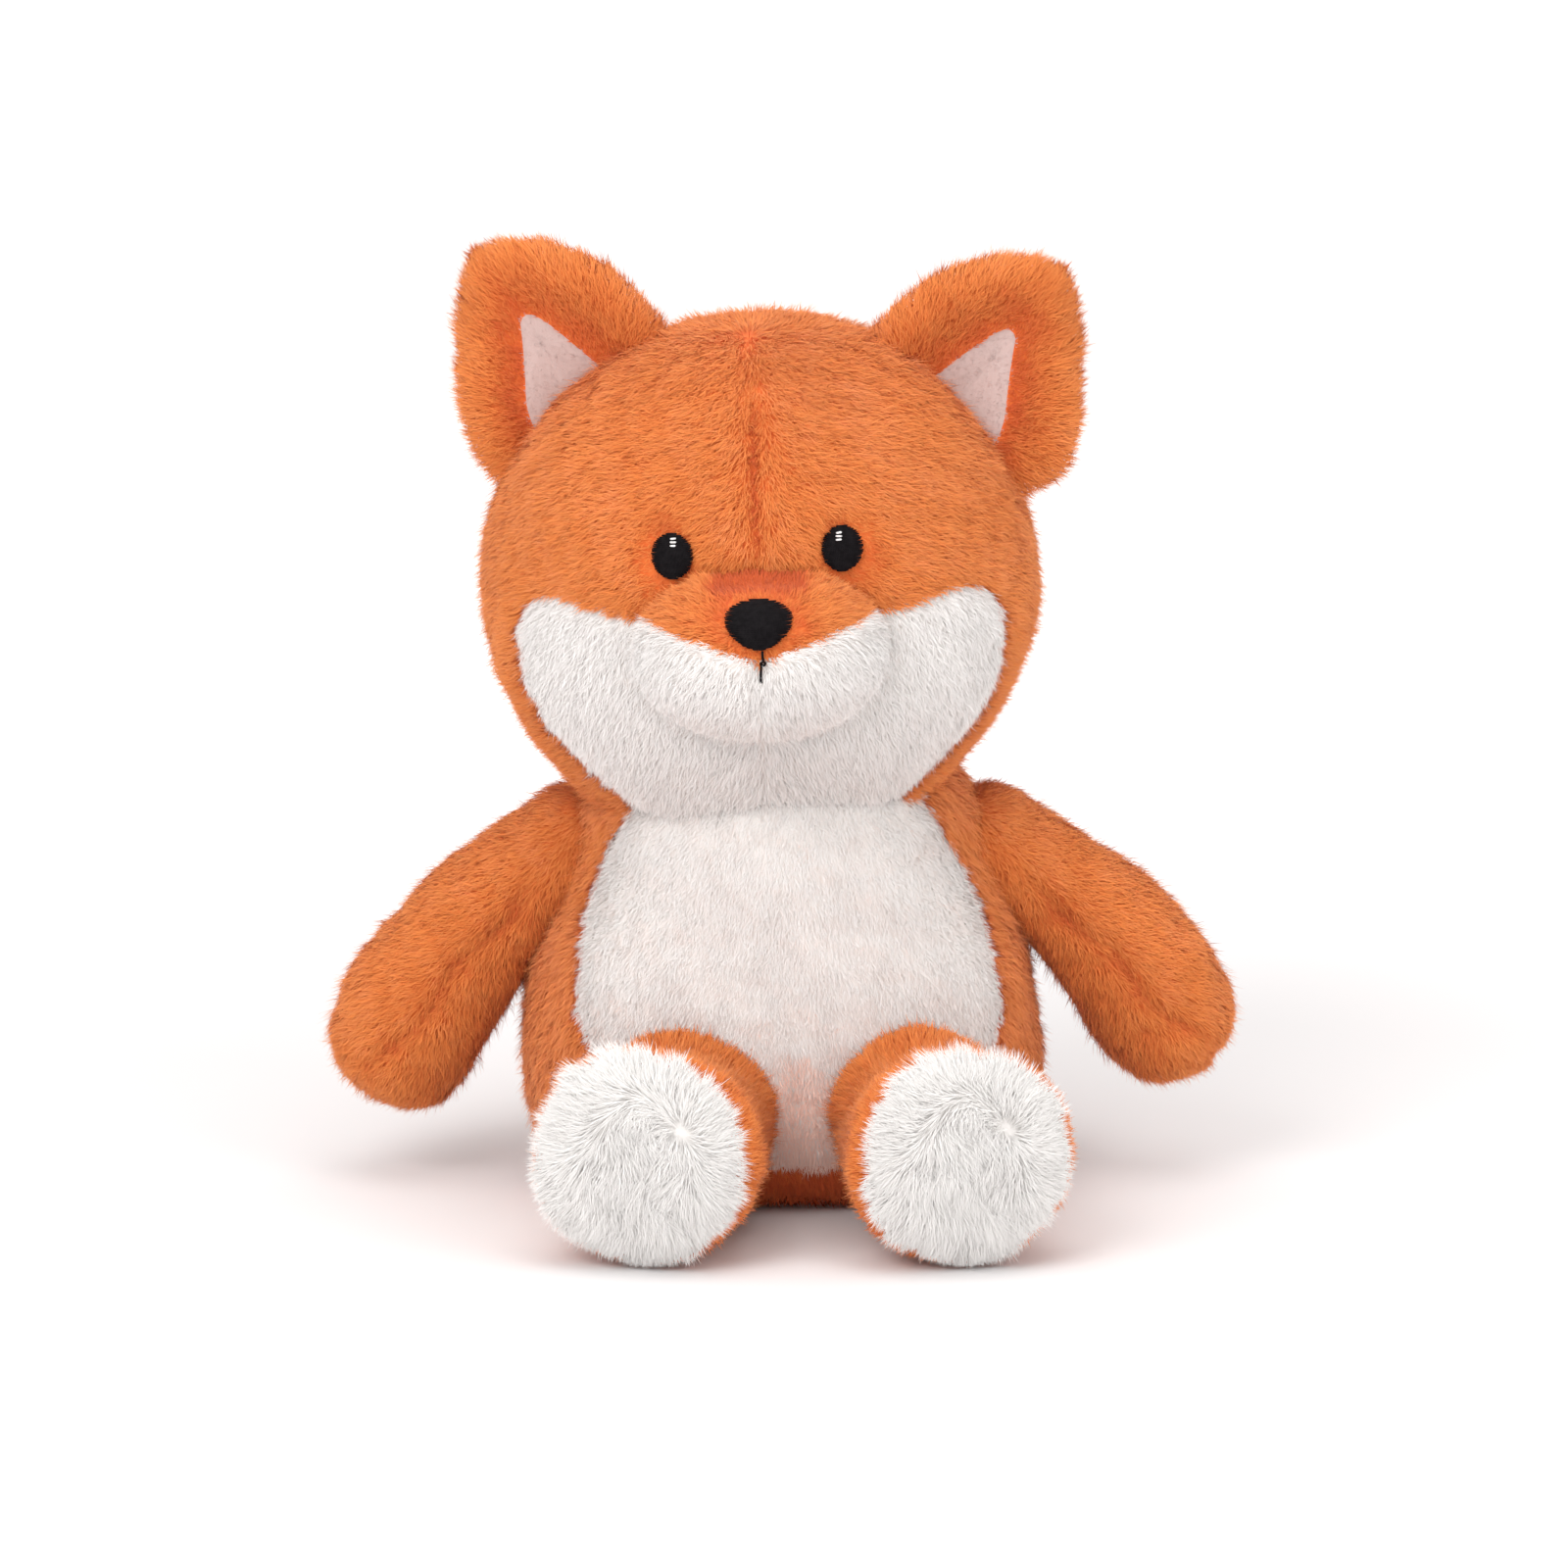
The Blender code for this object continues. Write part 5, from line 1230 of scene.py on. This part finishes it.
def satin(name, rows, radius, lift, crown, seed):
    """Satin stitch: a copy of one stitch for each row (left x, right x, z), laid on the face.

    lift is how far the stitches stand off the face, and crown how far their middle bulges.
    """
    stitch = one_stitch(name)
    rng = np.random.default_rng(seed)
    base = np.array([v.co for v in stitch.data.vertices])
    faces = [tuple(p.vertices) for p in stitch.data.polygons]
    bpy.data.objects.remove(stitch)
    middle_z = rows[len(rows) // 2][2]
    tall = max(abs(z - middle_z) for _, _, z in rows) + 1e-6
    out = np.abs(base[:, 0])
    end = np.clip((out - 0.6) / 0.4, 0, 1)
    thin = radius * (1 - 0.45 * end**2)
    points, polygons = [], []
    for left, right, z in rows:
        left += rng.normal(0, UNEVEN_END)
        right += rng.normal(0, UNEVEN_END)
        x = (right + left) / 2 + base[:, 0] * ((right - left) / 2)
        row_z = z + base[:, 2] * thin * 1.05 + rng.normal(0, UNEVEN_TURN) * base[:, 0]
        share = np.clip(1 - ((z - middle_z) / (1.15 * tall)) ** 2, 0, 1)
        dome = crown * share * (1 - out ** 2.2)
        y = face_y(x, row_z) - lift - dome + base[:, 1] * thin + end**2 * radius * 1.4
        start = len(points) * len(base)
        points.append(np.stack((x, y, row_z), 1))
        polygons += [tuple(start + i for i in f) for f in faces]
    mesh = bpy.data.meshes.new(name)
    mesh.from_pydata(np.concatenate(points).tolist(), [], polygons)
    mesh.transform(HEAD_PLACE)
    return put_in_scene(name, mesh)


def outward_and_smooth(made, angle):
    select_only(made)
    bpy.ops.object.mode_set(mode="EDIT")
    bpy.ops.mesh.select_all(action="SELECT")
    bpy.ops.mesh.normals_make_consistent(inside=False)
    bpy.ops.object.mode_set(mode="OBJECT")
    bpy.ops.object.shade_smooth_by_angle(angle=math.radians(angle))


def finish_thread(made, slot, node):
    """Smooths a stitched piece, gives it its thread and fixes it to the head."""
    outward_and_smooth(made, 50.0)
    made.data.materials.append(plush(slot))
    settle(made, "head", slot, None, node)


def oval_rows(cx, cz, half_w, half_h, pitch, widen=None):
    """The rows of an oval patch of stitches, from its bottom up."""
    count = max(3, int(round(2 * half_h / pitch)))
    rows = []
    for i in range(count):
        up = -1 + 2 * (i + 0.5) / count
        wide = half_w * math.sqrt(max(0.0, 1 - up * up)) * (widen(up) if widen else 1.0)
        rows.append((cx - wide, cx + wide, cz + up * half_h))
    return rows


def nose_width(up):
    """The nose is a rounded triangle, wide above and narrow below."""
    return (0.90 + 0.19 * up) * 1.12


class StitchFace(bpy.types.Operator):
    """Stitch the eyes with their highlights, the nose and the mouth"""
    bl_idname = "plush_fox.stitch_face"
    bl_label = "Stitched face"

    def execute(self, context):
        _, _, shape, _ = settings()
        pitch, radius = shape.stitch_pitch, shape.stitch_radius
        for number, (side_name, (ex, ez)) in enumerate(EYES.items()):
            eye = satin(f"eye_{side_name}_stitches", oval_rows(ex, ez, *EYE_HALF, pitch), radius, lift=0.0013,
                        crown=0.0007, seed=71 + number)
            finish_thread(eye, "black_thread", f"eye_{side_name}")
            out, over = SPARKS[side_name]
            rows = [(a - 0.0003, b + 0.0003, z)
                    for a, b, z in oval_rows(ex + out, ez + over, *SPARK_HALF, SPARK_PITCH)]
            spark = satin(f"eye_highlight_{side_name}_stitches", rows, 0.9 * radius, lift=0.0021, crown=0.0,
                          seed=75 + number)
            finish_thread(spark, "white_thread", f"eye_highlight_{side_name}")
        nose = satin("nose_stitches", oval_rows(*NOSE_AT, *NOSE_HALF, pitch, nose_width), radius, lift=0.0012,
                     crown=0.0016, seed=79)
        finish_thread(nose, "black_thread", "nose")
        self.mouth()
        return {"FINISHED"}

    def mouth(self):
        """A thread from the nose down to a knot, and a stitch below it."""
        line = bpy.data.curves.new("mouth_thread", "CURVE")
        line.dimensions = "3D"
        line.bevel_depth = 0.00034
        line.bevel_resolution = 2
        line.use_fill_caps = True
        line.resolution_u = 4
        for points in MOUTH:
            spline = line.splines.new("BEZIER")
            spline.bezier_points.add(len(points) - 1)
            for at, (x, z) in zip(spline.bezier_points, points):
                at.co = (x, float(face_y(x, z)) - 0.0011, z)
                at.handle_left_type = at.handle_right_type = "AUTO"
        select_only(put_in_scene("mouth_stitch_thread", line))
        bpy.ops.object.convert(target="MESH")
        made = bpy.context.object
        made.data.transform(HEAD_PLACE)
        made.data.materials.clear()
        finish_thread(made, "black_thread", "mouth_stitch")


class StuffRoots(bpy.types.Operator):
    """Tuck the wads of filling in at the neck, the shoulders, the hips and the tail"""
    bl_idname = "plush_fox.stuff_roots"
    bl_label = "Wads of filling"

    def execute(self, context):
        bodies = frame["record"]["behaviour"]["bodies"]
        for node, body in [(name, body) for body, names in bodies.items() for name in names]:
            at_root = node.endswith("_stuffing") and body in ("neck", "tail_root")
            if not (at_root or node.startswith(("shoulder", "hip"))):
                continue
            mesh = frame["nodes"][node].data.copy()
            made = put_in_scene(f"{node}_wad", mesh)
            select_only(made)
            bpy.ops.object.mode_set(mode="EDIT")
            bpy.ops.mesh.select_all(action="SELECT")
            bpy.ops.mesh.remove_doubles(threshold=0.00002)
            bpy.ops.object.mode_set(mode="OBJECT")
            smoother = made.modifiers.new("soften", "SUBSURF")
            smoother.levels = smoother.render_levels = 2
            bpy.ops.object.modifier_apply(modifier="soften")
            co = np.array([v.co for v in mesh.vertices])
            normals = np.array([v.normal for v in mesh.vertices])
            co += normals * (0.00012 * waves(co, 0.0022, 91) - 0.0001)[:, None]
            if body == "neck":
                reach = np.linalg.norm(co - NECK, axis=1, keepdims=True)
                co = NECK + (co - NECK) * np.minimum(1.0, (DOME_R - 0.0012) / reach)
            mesh.vertices.foreach_set("co", co.astype(np.float32).ravel())
            mesh.materials.clear()
            mesh.materials.append(plush("filling"))
            outward_and_smooth(made, 80.0)
            settle(made, body, "filling", 0.5, node)
        return {"FINISHED"}


LAMP_AIM = Vector((0, 0, 0.12))
LAMPS = (("key_softbox", (-0.75, -1.25, 1.10), 0.9, 14.0),     # name, place, size in metres and watts
         ("fill_softbox", (1.05, -1.0, 0.75), 0.9, 4.8),
         ("front_softbox", (0.0, -1.60, 0.40), 0.9, 2.9),
         ("top_softbox", (0.0, -0.30, 1.45), 1.1, 6.3))


class SetStage(bpy.types.Operator):
    """Set the pale floor, the soft light and the camera"""
    bl_idname = "plush_fox.set_stage"
    bl_label = "Floor, light and camera"

    def execute(self, context):
        stage = context.scene.fox_stage
        back = Vector((0.0, -math.cos(stage.elevation), math.sin(stage.elevation)))
        lens = bpy.data.cameras.new("front_camera")
        lens.lens = stage.lens
        lens.sensor_width = 36.0
        lens.clip_start, lens.clip_end = 0.05, 50.0
        camera = put_in_scene("front_camera", lens)
        camera.location = Vector(stage.aim) + back * stage.distance
        camera.rotation_mode = "QUATERNION"
        camera.rotation_quaternion = (-back).to_track_quat("-Z", "Y")
        context.scene.camera = camera
        context.scene.view_settings.view_transform = "Standard"
        self.floor(stage)
        self.light()
        return {"FINISHED"}

    def floor(self, stage):
        """A wide floor. Far out it glows a little, for the camera alone, so that it meets the pale room."""
        bpy.ops.object.select_all(action="DESELECT")
        bpy.ops.mesh.primitive_plane_add(size=80.0, location=(0, 0, 0))
        floor = bpy.context.object
        floor.name = "floor"
        made, tree, shader = new_material("pale_floor")
        place = add_node(tree, "TexCoord")
        away = add_node(tree, "VectorMath", {0: place.outputs["Object"]}, operation="LENGTH")
        glow = add_node(tree, "MapRange", {"From Min": 0.20, "From Max": 0.80, "To Min": 0.0, "To Max": 0.42,
                                           "Value": away.outputs["Value"]}, interpolation_type="SMOOTHSTEP")
        path = add_node(tree, "LightPath")
        seen = add_node(tree, "Math", {0: path.outputs["Is Camera Ray"], 1: glow.outputs[0]},
                        operation="MULTIPLY")
        feed(tree, shader, {"Base Color": (*stage.floor_colour, 1), "Roughness": 0.7, "Specular IOR Level": 0.1,
                            "Emission Color": (1, 1, 1, 1), "Emission Strength": seen.outputs[0]})
        floor.data.materials.append(made)

    def light(self):
        """A pale room, white where it is seen, mirrored or looked through, and soft lamps."""
        world = bpy.data.worlds.new("pale_room")
        bpy.context.scene.world = world
        world.use_nodes = True
        tree = world.node_tree
        room = tree.nodes["Background"]
        feed(tree, room, {"Color": (1.0, 0.995, 0.99, 1), "Strength": 0.77})
        white = add_node(tree, "Background", {"Color": (1, 1, 1, 1), "Strength": 1.0})
        path = add_node(tree, "LightPath").outputs
        shown = path["Is Camera Ray"]
        for ray in ("Is Glossy Ray", "Is Transmission Ray"):
            shown = add_node(tree, "Math", {0: shown, 1: path[ray]}, operation="MAXIMUM").outputs[0]
        mix = add_node(tree, "MixShader", {0: shown, 1: room.outputs[0], 2: white.outputs[0]})
        feed(tree, tree.nodes["World Output"], {0: mix.outputs[0]})
        for name, place, size, power in LAMPS:
            lamp = bpy.data.lights.new(name, "AREA")
            lamp.size = size
            lamp.energy = power
            made = put_in_scene(name, lamp)
            made.location = place
            made.rotation_mode = "QUATERNION"
            made.rotation_quaternion = (Vector(place) - LAMP_AIM).to_track_quat("Z", "Y")


SETTINGS = (("fox_pile", PileSettings), ("fox_colours", ColourSettings), ("fox_shape", ShapeSettings),
            ("fox_stage", StageSettings))
STEPS = (SetStage, SewBody, SewHead, SewMuzzle, SewEars, SewArms, SewLegs, SewTail, StitchFace, StuffRoots)


class FoxPanel(bpy.types.Panel):
    """Lists the sizes, the colours and the steps of the plush fox"""
    bl_idname = "VIEW3D_PT_plush_fox"
    bl_label = "Plush fox"
    bl_space_type = "VIEW_3D"
    bl_region_type = "UI"
    bl_category = "Plush fox"

    def draw(self, context):
        for name, kind in SETTINGS:
            box = self.layout.box()
            for prop in kind.__annotations__:
                box.prop(getattr(context.scene, name), prop)
        for step in STEPS:
            self.layout.operator(step.bl_idname)


def register():
    for name, kind in SETTINGS:
        bpy.utils.register_class(kind)
        setattr(bpy.types.Scene, name, PointerProperty(type=kind))
    for step in (*STEPS, FoxPanel):
        bpy.utils.register_class(step)


def unregister():
    for step in (*STEPS, FoxPanel):
        bpy.utils.unregister_class(step)
    for name, kind in SETTINGS:
        delattr(bpy.types.Scene, name)
        bpy.utils.unregister_class(kind)


def main():
    register()
    for step in STEPS:
        category, name = step.bl_idname.split(".")
        getattr(getattr(bpy.ops, category), name)()


if __name__ == "__main__":
    main()
